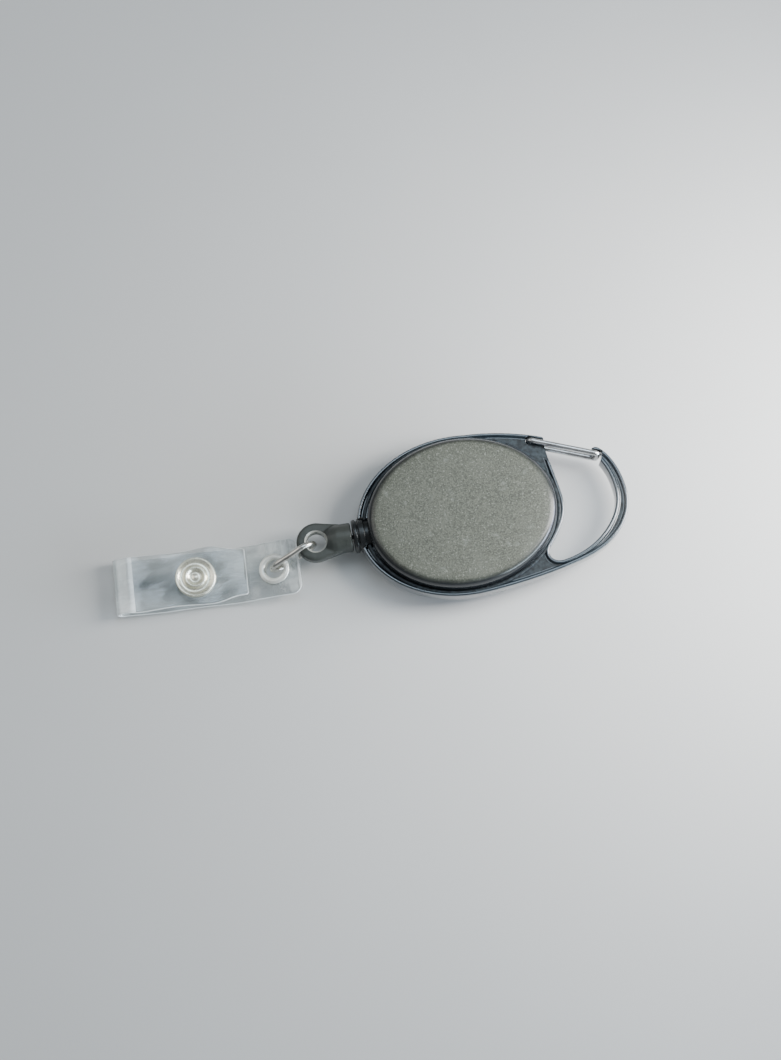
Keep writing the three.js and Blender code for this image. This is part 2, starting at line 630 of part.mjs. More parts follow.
function strapFold() {
  const { foldX, foldRadius, lowZ, width } = STRAP;
  const x = foldX - 0.02; // just clear of the two flat layers
  const z = lowZ + foldRadius;
  const s = new THREE.Shape();
  s.absarc(x, z, foldRadius + HALF_SHEET, 0.5 * Math.PI, 1.5 * Math.PI);
  s.absarc(x, z, foldRadius - HALF_SHEET, 1.5 * Math.PI, 0.5 * Math.PI, true);
  return new THREE.ExtrudeGeometry(s, { depth: width, bevelEnabled: false, curveSegments: 10 })
    .rotateX(Math.PI / 2)
    .translate(0, width / 2, 0);
}

add("strap_tail", strapTail(), vinyl, onStrap);
add("strap_fold", strapFold(), vinyl, onStrap);
add("strap_flap", strapFlap(), vinyl, onStrap);

// ---- grommet in the tail -------------------------------------------------
const grommet = turnedRing([
  [EYELET.hole, -0.8], ...arcPoints(2.45, -0.8, 0.3, -90, 0, 3), [2.75, -0.68], [2.38, -0.66], [2.38, 0.27],
  ...arcPoints(EYELET.flange - 0.25, 0.52, 0.25, -90, 60, 4), [2.3, 0.8], [EYELET.hole + 0.05, 0.55],
], SMALL_ROUND);
const grommetWasher = turnedRing([
  [2.42, -0.62], [3.25, -0.62], [3.4, -0.47], [3.4, -0.27], [2.42, -0.27],
], SMALL_ROUND);
add("grommet_eyelet", grommet, nickel, onTail);
add("grommet_washer", grommetWasher, nickel, onTail);

// ---- snap fastener -------------------------------------------------------
const tailTop = STRAP.lowZ + HALF_SHEET;
const flapBottom = FLAP_Z - HALF_SHEET;
const flapTop = FLAP_Z + HALF_SHEET;

const snapPost = turned([
  [0, 0], ...arcPoints(3.3, 0.3, 0.3, -90, 90, 4), [1.1, 0.58], [1.1, 2.0], [0, 2.0],
], SMALL_ROUND);
const snapStud = turnedRing([
  [1.2, tailTop + 0.02], [3.9, tailTop + 0.02], [3.9, tailTop + 0.3], [1.75, tailTop + 0.4],
  [1.6, 1.9], ...arcPoints(1.5, 2.4, 0.4, -60, 80, 4), [1.2, 2.78],
], SMALL_ROUND);
const snapSocket = turnedRing([
  [2.2, 1.72], [2.9, 1.72], [3.2, 1.95], [3.3, 2.6], [SNAP_RADIUS, 2.75], [SNAP_RADIUS, flapBottom - 0.02],
  [1.2, flapBottom - 0.02], [1.2, 3.0], [2.3, 2.95], [2.3, 2.6], [2.72, 2.5], [2.72, 2.1], [2.2, 2.0],
], SMALL_ROUND);
const snapCap = turned([
  [0, 2.95], [1.1, 2.95], [1.1, flapTop + 0.02], [SNAP_RADIUS - 0.25, flapTop + 0.02],
  ...arcPoints(SNAP_RADIUS - 0.3, flapTop + 0.35, 0.3, -60, 110, 5),
  [3.2, flapTop + 0.3], [2.5, flapTop + 0.32],
  ...arcPoints(1.85, flapTop + 0.5, 0.45, 20, 150, 4),
  [0.9, flapTop + 0.35], [0.45, flapTop + 0.45], [0, flapTop + 0.5],
], SMALL_ROUND);

// A split ring of wire that grips the stud, in the groove of the socket.
class SplitRing extends THREE.Curve {
  getPoint(t, target = new THREE.Vector3()) {
    const angle = radians(15 + 330 * t);
    const { radius, z } = SNAP_RING;
    return target.set(radius * Math.cos(angle), radius * Math.sin(angle), z);
  }
}

add("snap_post", snapPost, nickel, onStrap);
add("snap_stud", snapStud, nickel, onStrap);
add("snap_socket", snapSocket, nickel, onStrap);
add("snap_spring", wireAlong(new SplitRing(), SNAP_RING.wire, 28, 6), springSteel, onStrap);
add("snap_cap", snapCap, nickel, onStrap);

export default part;
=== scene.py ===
"""Retractable badge reel with a carabiner case: the looks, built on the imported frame."""

import math

import bmesh
import bpy
import numpy as np
from mathutils import Matrix, Vector
from mathutils.geometry import tessellate_polygon


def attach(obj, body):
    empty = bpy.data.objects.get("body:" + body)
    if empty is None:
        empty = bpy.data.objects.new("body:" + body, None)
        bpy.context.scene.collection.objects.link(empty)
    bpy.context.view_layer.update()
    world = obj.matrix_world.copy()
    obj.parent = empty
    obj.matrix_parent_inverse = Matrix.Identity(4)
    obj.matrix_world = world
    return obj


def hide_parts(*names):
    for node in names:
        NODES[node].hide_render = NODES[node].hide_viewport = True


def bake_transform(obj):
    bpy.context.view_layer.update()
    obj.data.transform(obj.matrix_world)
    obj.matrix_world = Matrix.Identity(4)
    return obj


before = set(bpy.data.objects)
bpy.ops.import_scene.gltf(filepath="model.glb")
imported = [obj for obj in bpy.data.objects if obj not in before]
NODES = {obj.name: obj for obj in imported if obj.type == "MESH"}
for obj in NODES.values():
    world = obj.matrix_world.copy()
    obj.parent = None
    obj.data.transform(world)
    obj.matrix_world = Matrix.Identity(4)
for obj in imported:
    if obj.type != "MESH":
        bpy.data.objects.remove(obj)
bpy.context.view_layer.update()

MM = 0.001


# ---- mesh helpers (all in millimetres until a mesh is made) ----------------
def make(name, verts, faces, material, angle=35.0, matrix=None, marks=None):
    """A mesh object from points in mm, smooth but for edges sharper than angle (degrees).

    marks: a material number for each face."""
    mesh = bpy.data.meshes.new(name)
    mesh.from_pydata([Vector(v) * MM for v in verts], [], faces)
    if marks:
        mesh.polygons.foreach_set("material_index", marks)
    bm = bmesh.new()
    bm.from_mesh(mesh)
    bmesh.ops.remove_doubles(bm, verts=bm.verts, dist=1e-7)
    bmesh.ops.recalc_face_normals(bm, faces=bm.faces)
    bm.to_mesh(mesh)
    bm.free()
    obj = bpy.data.objects.new(name, mesh)
    bpy.context.collection.objects.link(obj)
    if matrix is not None:
        mesh.transform(matrix)
    mesh.shade_smooth()
    mesh.set_sharp_from_angle(angle=math.radians(angle))
    mesh.materials.append(material)
    return obj


def grid_faces(rows, columns, wrap_rows=False, wrap_columns=False):
    """Quads over a grid of rows x columns points stored row by row."""
    faces = []
    for i in range(rows if wrap_rows else rows - 1):
        for j in range(columns if wrap_columns else columns - 1):
            a, b = i * columns + j, i * columns + (j + 1) % columns
            c = (i + 1) % rows * columns
            faces.append((a, b, c + (j + 1) % columns, c + j))
    return faces


def arc(r, z, radius, start, end, steps=8):
    """Points of a round corner in an [r, z] profile, angles in degrees."""
    out = []
    for i in range(steps + 1):
        t = math.radians(start + (end - start) * i / steps)
        out.append((r + radius * math.cos(t), z + radius * math.sin(t)))
    return out


def lathe_points(profile, segments, closed, squash_y=1.0):
    """Verts and faces of a profile of (r, z) turned about Z. closed: the profile joins on itself."""
    verts = []
    for r, z in profile:
        for k in range(segments):
            t = 2 * math.pi * k / segments
            verts.append((r * math.cos(t), r * math.sin(t) * squash_y, z))
    faces = grid_faces(len(profile), segments, wrap_rows=closed, wrap_columns=True)
    return verts, faces


def lathe(name, profile, material, segments=96, closed=False, squash_y=1.0, matrix=None, angle=35.0):
    verts, faces = lathe_points(profile, segments, closed, squash_y)
    return make(name, verts, faces, material, angle, matrix)


def tube(name, path, radius, material, facets=16, closed=False, matrix=None):
    """A round wire along a list of points, with flat ends unless it is closed."""
    path = [Vector(p) for p in path]
    n = len(path)
    verts, side = [], None
    for i, p in enumerate(path):
        before = path[i - 1] if closed or i else p
        after = path[(i + 1) % n] if closed or i < n - 1 else p
        along = (after - before).normalized()
        if side is None:
            side = along.orthogonal().normalized()
        side = (side - along * side.dot(along)).normalized()
        other = along.cross(side)
        for k in range(facets):
            t = 2 * math.pi * k / facets
            verts.append(p + (side * math.cos(t) + other * math.sin(t)) * radius)
    faces = grid_faces(n, facets, wrap_rows=closed, wrap_columns=True)
    if not closed:
        faces += [tuple(range(facets)), tuple((n - 1) * facets + k for k in range(facets))]
    return make(name, verts, faces, material, 40, matrix)


def rounded(points, radius, steps=8):
    """A path of straight runs with rounded corners, as in the CAD."""
    points = [Vector(p) for p in points]
    out = [points[0]]
    for before, corner, after in zip(points, points[1:], points[2:]):
        a = corner + (before - corner).normalized() * radius
        b = corner + (after - corner).normalized() * radius
        for i in range(steps + 1):
            t = i / steps
            out.append(a * (1 - t) ** 2 + corner * 2 * t * (1 - t) + b * t * t)
    return out + [points[-1]]


def bezier(p0, p1, p2, p3, steps):
    out = []
    for i in range(steps):
        t = i / steps
        w = ((1 - t) ** 3, 3 * t * (1 - t) ** 2, 3 * t * t * (1 - t), t**3)
        out.append(tuple(sum(k * p[a] for k, p in zip(w, (p0, p1, p2, p3))) for a in (0, 1)))
    return out


def resample(points, step, closed=True):
    """The same outline with points an even step apart."""
    pts = [Vector(p) for p in points]
    if closed:
        pts.append(pts[0])
    run = [0.0]
    for a, b in zip(pts, pts[1:]):
        run.append(run[-1] + (b - a).length)
    count = max(3, round(run[-1] / step))
    out, j = [], 0
    for i in range(count + (0 if closed else 1)):
        s = run[-1] * i / count
        while j < len(run) - 2 and run[j + 1] < s:
            j += 1
        t = (s - run[j]) / max(run[j + 1] - run[j], 1e-9)
        out.append(pts[j].lerp(pts[j + 1], t))
    return out


def free_depth(points, inward, deepest):
    """How far each point can move inward before it comes nearer to another part of the outline."""
    p = np.array(points)
    m = np.array(inward)
    least = 0.05
    limit = np.full(len(p), deepest)
    for depth in np.linspace(deepest, least, 14):
        moved = p + m * depth
        nearest = np.sqrt(((moved[:, None] - p[None]) ** 2).sum(-1)).min(1)
        limit[nearest < depth * 0.97] = depth - least
    # The least of the neighbours, then smoothed, so that the insets change gently.
    wide = np.array([np.roll(limit, k) for k in range(-3, 4)]).min(0)
    return np.array([np.roll(wide, k) for k in range(-2, 3)]).mean(0)


def prism(name, outline, profile, material, angle=35.0, matrix=None, ends=0):
    """A closed outline raised through a profile of (inset, z) steps.

    ends: the material number of its two flat ends."""
    n = len(outline)
    pts = [Vector((p[0], p[1])) for p in outline]
    area = sum(a.x * b.y - b.x * a.y for a, b in zip(pts, pts[1:] + pts[:1]))
    turn = 1 if area > 0 else -1
    inward = []
    for i in range(n):
        t = (pts[(i + 1) % n] - pts[i - 1]).normalized()
        inward.append(Vector((-t.y, t.x)) * turn)
    deepest = max(inset for inset, _ in profile)
    limit = free_depth(pts, inward, deepest) if deepest > 0 else [0.0] * n
    verts = []
    for inset, z in profile:
        for p, m, d in zip(pts, inward, limit):
            depth = min(inset, d)
            verts.append((p.x + m.x * depth, p.y + m.y * depth, z))
    faces = grid_faces(len(profile), n, wrap_columns=True)
    sides = len(faces)
    for row in (0, len(profile) - 1):
        cap = [Vector(v) for v in verts[row * n : (row + 1) * n]]
        faces += [tuple(row * n + k for k in triangle) for triangle in tessellate_polygon([cap])]
    marks = [0] * sides + [ends] * (len(faces) - sides) if ends else None
    return make(name, verts, faces, material, angle, matrix, marks)


def apply_modifiers(obj):
    """Turns the object's modifiers into its mesh."""
    depsgraph = bpy.context.evaluated_depsgraph_get()
    mesh = bpy.data.meshes.new_from_object(obj.evaluated_get(depsgraph))
    old, obj.data = obj.data, mesh
    obj.modifiers.clear()
    bpy.data.meshes.remove(old)


def at_place(x, y, z):
    """The matrix of a shift in mm."""
    return Matrix.Translation(Vector((x, y, z)) * MM)


def cut(obj, *tools):
    """Boolean difference, applied; the tools are used up."""
    for tool in tools:
        m = obj.modifiers.new("cut", "BOOLEAN")
        m.operation, m.solver, m.object = "DIFFERENCE", "MANIFOLD", tool
        apply_modifiers(obj)
        bpy.data.objects.remove(tool)


def resmooth(obj, angle):
    obj.data.shade_smooth()
    obj.data.set_sharp_from_angle(angle=math.radians(angle))


# ---- driving dimensions, in mm, as in the CAD ------------------------------
TOTAL_HEIGHT = 10.8
CAP = (20.0, 16.0)  # semi-axes of the oval cup and cover
RIM = (22.2, 17.35)  # semi-axes of the flange round them
FLANGE = (3.4, 7.4)  # its back and front
SEAT = 6.4  # the cover sits on the cup's wall at this height
CUP_FLOOR = 1.3
COVER_ROOF = 1.4
WALL = 1.5
OVAL = CAP[1] / CAP[0]
CORD_HEIGHT = 5.4
BOSSES = ((15.0, 5.5), (15.0, -5.5), (-15.0, -5.5))
BOSS_RADIUS = 1.8
PEG_ROOT = 1.6
POST_TOP, SHOULDER = 9.1, 3.6  # of the spool's axle
GATE_PIVOT, GATE_TIP = (17.2, 13.4), (30.9, 7.7)
GATE_WIRE, GATE_SPREAD = 0.6, 1.8
GATE_WEB = (4.55, 6.25)  # thinner part of the case between the gate's legs
GATE_SWEEP = math.radians(31)  # cut a little wider than the gate's 28 degrees of swing
NECK, COLLAR, BUSHING_RIM = 3.2, 3.6, 4.0  # radii of the cord bushing
NECK_START, COLLAR_START, MOUTH = -18.1, -20.6, -23.2  # along X
EYE_AT, EYE_OUTER, EYE_HOLE, EYE_HALF = 7.9, 4.1, 2.1, 1.4  # along the pull line
LINK_LENGTH, LINK_HEIGHT, LINK_RADIUS = 11.6, 6.4, 0.64
THICK, WIDE = 0.5, 12.0  # of the strap
FOLD_X, FOLD_R, LOW_Z = -15.7, 1.35, 0.85
END_X, FLAP_END_X, FLAP_END_W = 21.9, 10.7, 10.4
FLAP_Z = LOW_Z + 2 * FOLD_R
SEAM_X = 4.6  # where the strap's main sheet meets its raised tail
EYELET_X, EYELET_Z, RISE = 16.6, 2.7, math.radians(10)
EYELET_HOLE, EYELET_FLANGE = 2.0, 3.25
SNAP_RADIUS = 4.25
SNAP_HOLE = 1.35  # through both layers of the strap


# ---- materials -------------------------------------------------------------
class Nodes:
    """A short way to write a node tree."""

    def __init__(self, name, **sockets):
        self.material = bpy.data.materials.new(name)
        self.material.use_nodes = True
        self.tree = self.material.node_tree
        self.bsdf = self.tree.nodes["Principled BSDF"]
        self.set(**sockets)
        self.coords = self.tree.nodes.new("ShaderNodeTexCoord").outputs["Object"]

    def set(self, **sockets):
        for key, value in sockets.items():
            self.bsdf.inputs[key.replace("_", " ")].default_value = value

    def link(self, a, b):
        self.tree.links.new(a, b)

    def node(self, kind, **inputs):
        n = self.tree.nodes.new(kind)
        for key, value in inputs.items():
            socket = n.inputs[key.replace("_", " ")]
            if hasattr(value, "is_output"):
                self.link(value, socket)
            else:
                socket.default_value = value
        return n

    def stretched(self, x, y, z):
        n = self.node("ShaderNodeMapping", Vector=self.coords)
        n.inputs["Scale"].default_value = (x, y, z)
        return n.outputs["Vector"]

    def noise(self, size_mm, detail=4.0, vector=None, roughness=0.55):
        n = self.node("ShaderNodeTexNoise", Vector=vector or self.coords, Scale=1000.0 / size_mm)
        n.inputs["Detail"].default_value = detail
        n.inputs["Roughness"].default_value = roughness
        return n.outputs["Fac"]

    def ramp(self, fac, low, high, a, b):
        """A value from a to b as fac goes from low to high."""
        n = self.node("ShaderNodeMapRange", Value=fac)
        for key, value in zip(("From Min", "From Max", "To Min", "To Max"), (low, high, a, b)):
            n.inputs[key].default_value = value
        return n.outputs["Result"]

    def mix(self, fac, a, b):
        n = self.tree.nodes.new("ShaderNodeMix")
        n.data_type = "RGBA"
        self.link(fac, n.inputs["Factor"])
        for socket, value in (("A", a), ("B", b)):
            target = [i for i in n.inputs if i.name == socket and i.type == "RGBA"][0]
            if hasattr(value, "is_output"):
                self.link(value, target)
            else:
                target.default_value = (*value, 1.0)
        return [o for o in n.outputs if o.type == "RGBA"][0]

    def bump(self, height, strength, depth_mm, before=None):
        n = self.node("ShaderNodeBump", Height=height, Strength=strength, Distance=depth_mm * MM)
        if before is not None:
            self.link(before, n.inputs["Normal"])
        self.link(n.outputs["Normal"], self.bsdf.inputs["Normal"])
        return n.outputs["Normal"]

    def to(self, output, socket):
        self.link(output, self.bsdf.inputs[socket])

def gloss_black_plastic():
    m = Nodes("gloss_black_plastic", Specular_IOR_Level=1.0, Coat_Weight=0.9, Coat_Roughness=0.08)
    smudge = m.noise(7.0, 5.0)
    m.to(m.mix(m.noise(2.5, 3.0), (0.008, 0.013, 0.018), (0.020, 0.032, 0.042)), "Base Color")
    m.to(m.ramp(smudge, 0.35, 0.7, 0.12, 0.34), "Roughness")
    waves = m.bump(m.noise(4.0, 2.0), 0.35, 0.06)
    m.bump(m.noise(0.45, 3.0), 0.25, 0.014, waves)
    return m.material


def dull_web_plastic():
    """The sunken webs of the flange: the same black, moulded with a dull ground."""
    m = Nodes("dull_web_plastic", Specular_IOR_Level=0.4)
    ground = m.ramp(m.noise(0.8, 5.0), 0.38, 0.66, 0.0, 1.0)
    m.to(m.mix(ground, (0.004, 0.006, 0.008), (0.030, 0.042, 0.050)), "Base Color")
    m.to(m.ramp(m.noise(2.4, 5.0), 0.35, 0.68, 0.34, 0.66), "Roughness")
    waves = m.bump(m.noise(2.2, 3.0), 0.5, 0.10)
    m.bump(m.noise(0.35, 3.0), 0.5, 0.03, waves)
    return m.material


def textured_grey_plastic():
    """Sparked grey face; the wall and the rounded edge are gloss black, and the wide soft fade from
    grey into that black over the rounded edge is painted shade.
    """
    m = Nodes("textured_grey_plastic", Specular_IOR_Level=0.5)
    axes = m.node("ShaderNodeSeparateXYZ", Vector=m.stretched(1000 / CAP[0], 1000 / CAP[1], 1000.0))
    flat = m.node("ShaderNodeCombineXYZ", X=axes.outputs["X"], Y=axes.outputs["Y"])
    radius = m.tree.nodes.new("ShaderNodeVectorMath")
    radius.operation = "LENGTH"
    m.link(flat.outputs["Vector"], radius.inputs[0])
    uneven = m.ramp(m.noise(5.0, 2.0), 0.3, 0.7, -0.006, 0.006)
    reach = m.node("ShaderNodeMath")
    reach.operation = "ADD"
    m.link(radius.outputs["Value"], reach.inputs[0])
    m.link(uneven, reach.inputs[1])
    # edge: 0 on the face, 1 on the black wall; the width of its soft fade over the rounded edge is
    # painted shade.
    edge = m.ramp(reach.outputs["Value"], 0.895, 0.97, 0.0, 1.0)
    fine = m.noise(0.28, 3.0, roughness=0.6)
    blotch = m.noise(7.0, 4.0)
    speck = m.ramp(m.noise(0.40, 1.0), 0.60, 0.72, 0.0, 1.0)
    colour = m.mix(m.ramp(fine, 0.38, 0.62, 0.0, 1.0), (0.042, 0.045, 0.032), (0.116, 0.121, 0.094))
    colour = m.mix(m.ramp(blotch, 0.4, 0.72, 0.0, 0.35), colour, (0.130, 0.139, 0.116))
    scuff = m.ramp(m.noise(2.6, 5.0), 0.62, 0.78, 0.0, 0.45)
    colour = m.mix(scuff, colour, (0.24, 0.26, 0.23))
    colour = m.mix(m.ramp(speck, 0.0, 1.0, 0.0, 0.34), colour, (0.36, 0.38, 0.33))
    # The wall's own black, faded in over the rounded edge as painted shade.
    m.to(m.mix(edge, colour, (0.014, 0.016, 0.018)), "Base Color")
    rough = m.node("ShaderNodeMath")
    rough.operation = "MULTIPLY"
    m.link(m.ramp(blotch, 0.35, 0.7, 0.44, 0.56), rough.inputs[0])
    m.link(m.ramp(edge, 0.0, 1.0, 1.0, 0.36), rough.inputs[1])
    m.to(rough.outputs["Value"], "Roughness")
    sand = m.node("ShaderNodeBump", Height=fine, Distance=0.05 * MM)
    m.link(m.ramp(edge, 0.0, 1.0, 0.5, 0.06), sand.inputs["Strength"])
    m.bump(m.noise(1.4, 2.0), 0.12, 0.05, sand.outputs["Normal"])
    return m.material


def satin_black_plastic(name, dark, light, rough, specular=0.5):
    m = Nodes(name, Specular_IOR_Level=specular)
    m.to(m.mix(m.noise(1.3, 4.0), dark, light), "Base Color")
    m.to(m.ramp(m.noise(3.0, 4.0), 0.35, 0.7, rough - 0.08, rough + 0.12), "Roughness")
    m.bump(m.noise(0.3, 3.0), 0.35, 0.015)
    return m.material


def metal(name, colour, dull, rough, along=None, grain_mm=0.12, metallic=1.0):
    """A bright metal with fine drawn or turned marks and slight tarnish."""
    m = Nodes(name, Metallic=metallic)
    tarnish = m.noise(2.2, 5.0)
    m.to(m.mix(m.ramp(tarnish, 0.45, 0.75, 0.0, 1.0), colour, dull), "Base Color")
    vector = m.stretched(*along) if along else None
    grain = m.noise(grain_mm, 3.0, vector)
    m.to(m.ramp(grain, 0.3, 0.7, rough * 0.75, rough * 1.5), "Roughness")
    m.bump(grain, 0.12, 0.008)
    return m.material


def clear_vinyl(name, haze_low, haze_high, dark, light, rough=(0.10, 0.26), whiten=None):
    """Clear sheet: light goes straight through, with a shine by angle, milky streaks, and dark and
    light streaks in the milky part's colour that are painted reflections.

    whiten: the X, in mm, where a painted highlight starts to whiten the sheet, and where it is fully
    so."""
    m = Nodes(name, Specular_IOR_Level=0.6)
    new = m.tree.nodes.new
    wrinkle = m.noise(3.4, 4.0, m.stretched(0.3, 1.0, 1.0))
    # Dark and light streaks along the sheet in the milky part's colour: painted reflections.
    streaks = m.ramp(m.noise(5.0, 2.5, m.stretched(0.3, 1.0, 1.0)), 0.36, 0.66, 0.0, 1.0)
    m.to(m.mix(streaks, dark, light), "Base Color")
    m.set(Roughness=0.35)
    scuffs = m.noise(0.5, 3.0, m.stretched(0.35, 1.0, 1.0))
    waves = m.bump(m.noise(6.5, 1.5, m.stretched(0.5, 1.0, 1.0)), 0.7, 0.35)
    normal = m.bump(m.noise(1.7, 3.0, m.stretched(0.35, 1.0, 1.0)), 0.30, 0.08, waves)
    clear = new("ShaderNodeBsdfTransparent")
    clear.inputs["Color"].default_value = (0.968, 0.982, 0.980, 1)
    shine = new("ShaderNodeBsdfGlossy")
    m.link(m.ramp(scuffs, 0.4, 0.75, *rough), shine.inputs["Roughness"])
    m.link(normal, shine.inputs["Normal"])
    facing = new("ShaderNodeLayerWeight")
    facing.inputs["Blend"].default_value = 0.5
    m.link(normal, facing.inputs["Normal"])
    steep = new("ShaderNodeMath")
    steep.operation = "POWER"
    steep.inputs[1].default_value = 4.0
    m.link(facing.outputs["Facing"], steep.inputs[0])
    fresnel = m.ramp(steep.outputs[0], 0.0, 1.0, 0.07, 0.75)
    haze = m.ramp(wrinkle, 0.42, 0.70, haze_low, haze_high)
    # A painted highlight: past the given X the sheet is whitened in streaks.
    if whiten:
        along = m.node("ShaderNodeSeparateXYZ", Vector=m.coords)
        more = new("ShaderNodeMath")
        more.operation = "MULTIPLY_ADD"
        m.link(m.ramp(along.outputs["X"], whiten[0] * MM, whiten[1] * MM, 0.0, 0.9), more.inputs[0])
        streaked = m.noise(1.8, 5.0, m.stretched(1.0, 0.4, 1.0))
        m.link(m.ramp(streaked, 0.30, 0.56, 0.0, 1.0), more.inputs[1])
        m.link(haze, more.inputs[2])
        haze = more.outputs[0]
    milky = new("ShaderNodeMixShader")
    m.link(haze, milky.inputs[0])
    m.link(clear.outputs[0], milky.inputs[1])
    m.link(m.bsdf.outputs[0], milky.inputs[2])
    top = new("ShaderNodeMixShader")
    m.link(fresnel, top.inputs[0])
    m.link(milky.outputs[0], top.inputs[1])
    m.link(shine.outputs[0], top.inputs[2])
    m.link(top.outputs[0], m.tree.nodes["Material Output"].inputs["Surface"])
    return m.material


def braided_cord():
    m = Nodes("braided_nylon", Roughness=0.75)
    m.set(Sheen_Weight=0.3)
    wave = m.node("ShaderNodeTexWave", Vector=m.stretched(1, 1, 1), Scale=900.0)
    wave.bands_direction = "DIAGONAL"
    m.to(m.mix(wave.outputs["Fac"], (0.006, 0.006, 0.006), (0.035, 0.035, 0.035)), "Base Color")
    m.bump(wave.outputs["Fac"], 0.6, 0.08)
    return m.material


GLOSS = gloss_black_plastic()
WEB = dull_web_plastic()
COVER = textured_grey_plastic()
FITTING = satin_black_plastic(
    "satin_black_plastic", (0.028, 0.031, 0.028), (0.062, 0.068, 0.063), 0.34, 0.26,
)
BUSHING = satin_black_plastic("bushing_plastic", (0.005, 0.006, 0.007), (0.014, 0.016, 0.017), 0.3)
WHITE = satin_black_plastic("natural_acetal", (0.62, 0.61, 0.56), (0.72, 0.71, 0.66), 0.45)
NICKEL = metal("nickel_plate", (0.93, 0.94, 0.89), (0.80, 0.80, 0.72), 0.30, metallic=0.6)
STEEL = metal("drawn_spring_steel", (0.66, 0.66, 0.66), (0.42, 0.41, 0.40), 0.22, (1.0, 6.0, 6.0))
CAP_NICKEL = metal("warm_nickel_plate", (0.92, 0.91, 0.77), (0.78, 0.76, 0.60), 0.24, metallic=0.85)
LINK_WIRE = metal("plated_wire", (0.62, 0.61, 0.57), (0.36, 0.35, 0.32), 0.22, (1.0, 6.0, 6.0))
# Light grey on the chamfer of the fitting's eye hole: a painted highlight of the bright rim round the
# hole.
CHAMFER_HIGHLIGHT = satin_black_plastic("chamfer_painted_highlight", (0.30, 0.31, 0.29), (0.42, 0.43, 0.40), 0.3)
# The dark and light colours given to each vinyl are its painted reflection streaks.
VINYL = clear_vinyl("clear_vinyl", 0.14, 0.34, (0.075, 0.088, 0.098), (0.56, 0.59, 0.59))
# Its end is whitened toward the eyelet as a painted highlight.
VINYL_TAIL = clear_vinyl(
    "clear_vinyl_end", 0.13, 0.28, (0.30, 0.33, 0.34), (0.92, 0.96, 0.94), whiten=(-42.0, -38.0),
)
# The vinyl round the fold is whitened as a painted highlight.
VINYL_FOLD_HIGHLIGHT = clear_vinyl("fold_vinyl_painted_highlight", 0.35, 0.90, (0.70, 0.74, 0.74), (0.97, 1.0, 0.99))
# The strap's edges are whitened as a painted highlight.
VINYL_EDGE_HIGHLIGHT = clear_vinyl("vinyl_edge_painted_highlight", 0.8, 1.0, (0.86, 0.89, 0.88), (0.98, 1.0, 0.99))
NYLON = braided_cord()


# ---- the case --------------------------------------------------------------
def ellipse(a, b, start, end, steps):
    out = []
    for i in range(steps):
        t = math.radians(start + (end - start) * i / steps)
        out.append((a * math.cos(t), b * math.sin(t)))
    return out


def frame_outline():
    """The flange and the carabiner hook: curves round the hook, and None where the oval comes."""
    a, b = RIM
    leave = 4.0  # the outline leaves the oval at this X
    top = (leave, b * math.sqrt(1 - (leave / a) ** 2))
    begin = math.degrees(math.acos(leave / a))
    end = 270 + math.degrees(0.07)
    bottom = (a * math.cos(math.radians(end)), b * math.sin(math.radians(end)))
    curves = [
        ((20.0, 13.6), (16.8, 14.9), (10.5, 16.75), top),
        None,
        (bottom, (9.5, -16.95), (18.0, -15.6), (24.1, -13.9)),
        ((24.1, -13.9), (30.3, -12.1), (35.2, -7.6), (35.2, -1.6)),
        ((35.2, -1.6), (35.2, 2.6), (33.7, 7.0), (31.3, 9.0)),
        ((31.3, 9.0), (30.4, 9.7), (29.3, 9.2), (29.7, 8.1)),
        ((29.7, 8.1), (31.8, 5.4), (32.7, 2.4), (32.7, -0.8)),
        ((32.7, -0.8), (32.7, -6.6), (26.6, -12.6), (19.0, -13.5)),
        ((19.0, -13.5), (16.9, -13.8), (15.4, -11.9), (16.9, -10.1)),
        ((16.9, -10.1), (19.0, -7.9), (21.6, -4.6), (21.6, -1.0)),
        ((21.6, -1.0), (21.6, 2.2), (20.5, 6.5), (20.2, 12.0)),
        ((20.2, 12.0), (20.2, 12.9), (20.5, 13.3), (20.0, 13.6)),
    ]
    points = []
    for c in curves:
        points += ellipse(a, b, begin, end, 200) if c is None else bezier(*c, 40)
    return resample(points, 0.24)


def beaded_profile(low, high):
    """(inset, z) steps of a flange with a raised bead round its edge, front and back."""
    bead = [
        (1.06, 0.60), (0.98, 0.60), (0.90, 0.58), (0.80, 0.46), (0.74, 0.26), (0.67, 0.09),
        (0.56, 0.015), (0.45, 0.0), (0.30, 0.0), (0.18, 0.03), (0.08, 0.12), (0.02, 0.26), (0.0, 0.45),
    ]
    return [(i, low + d) for i, d in bead] + [(i, high - d) for i, d in reversed(bead)]


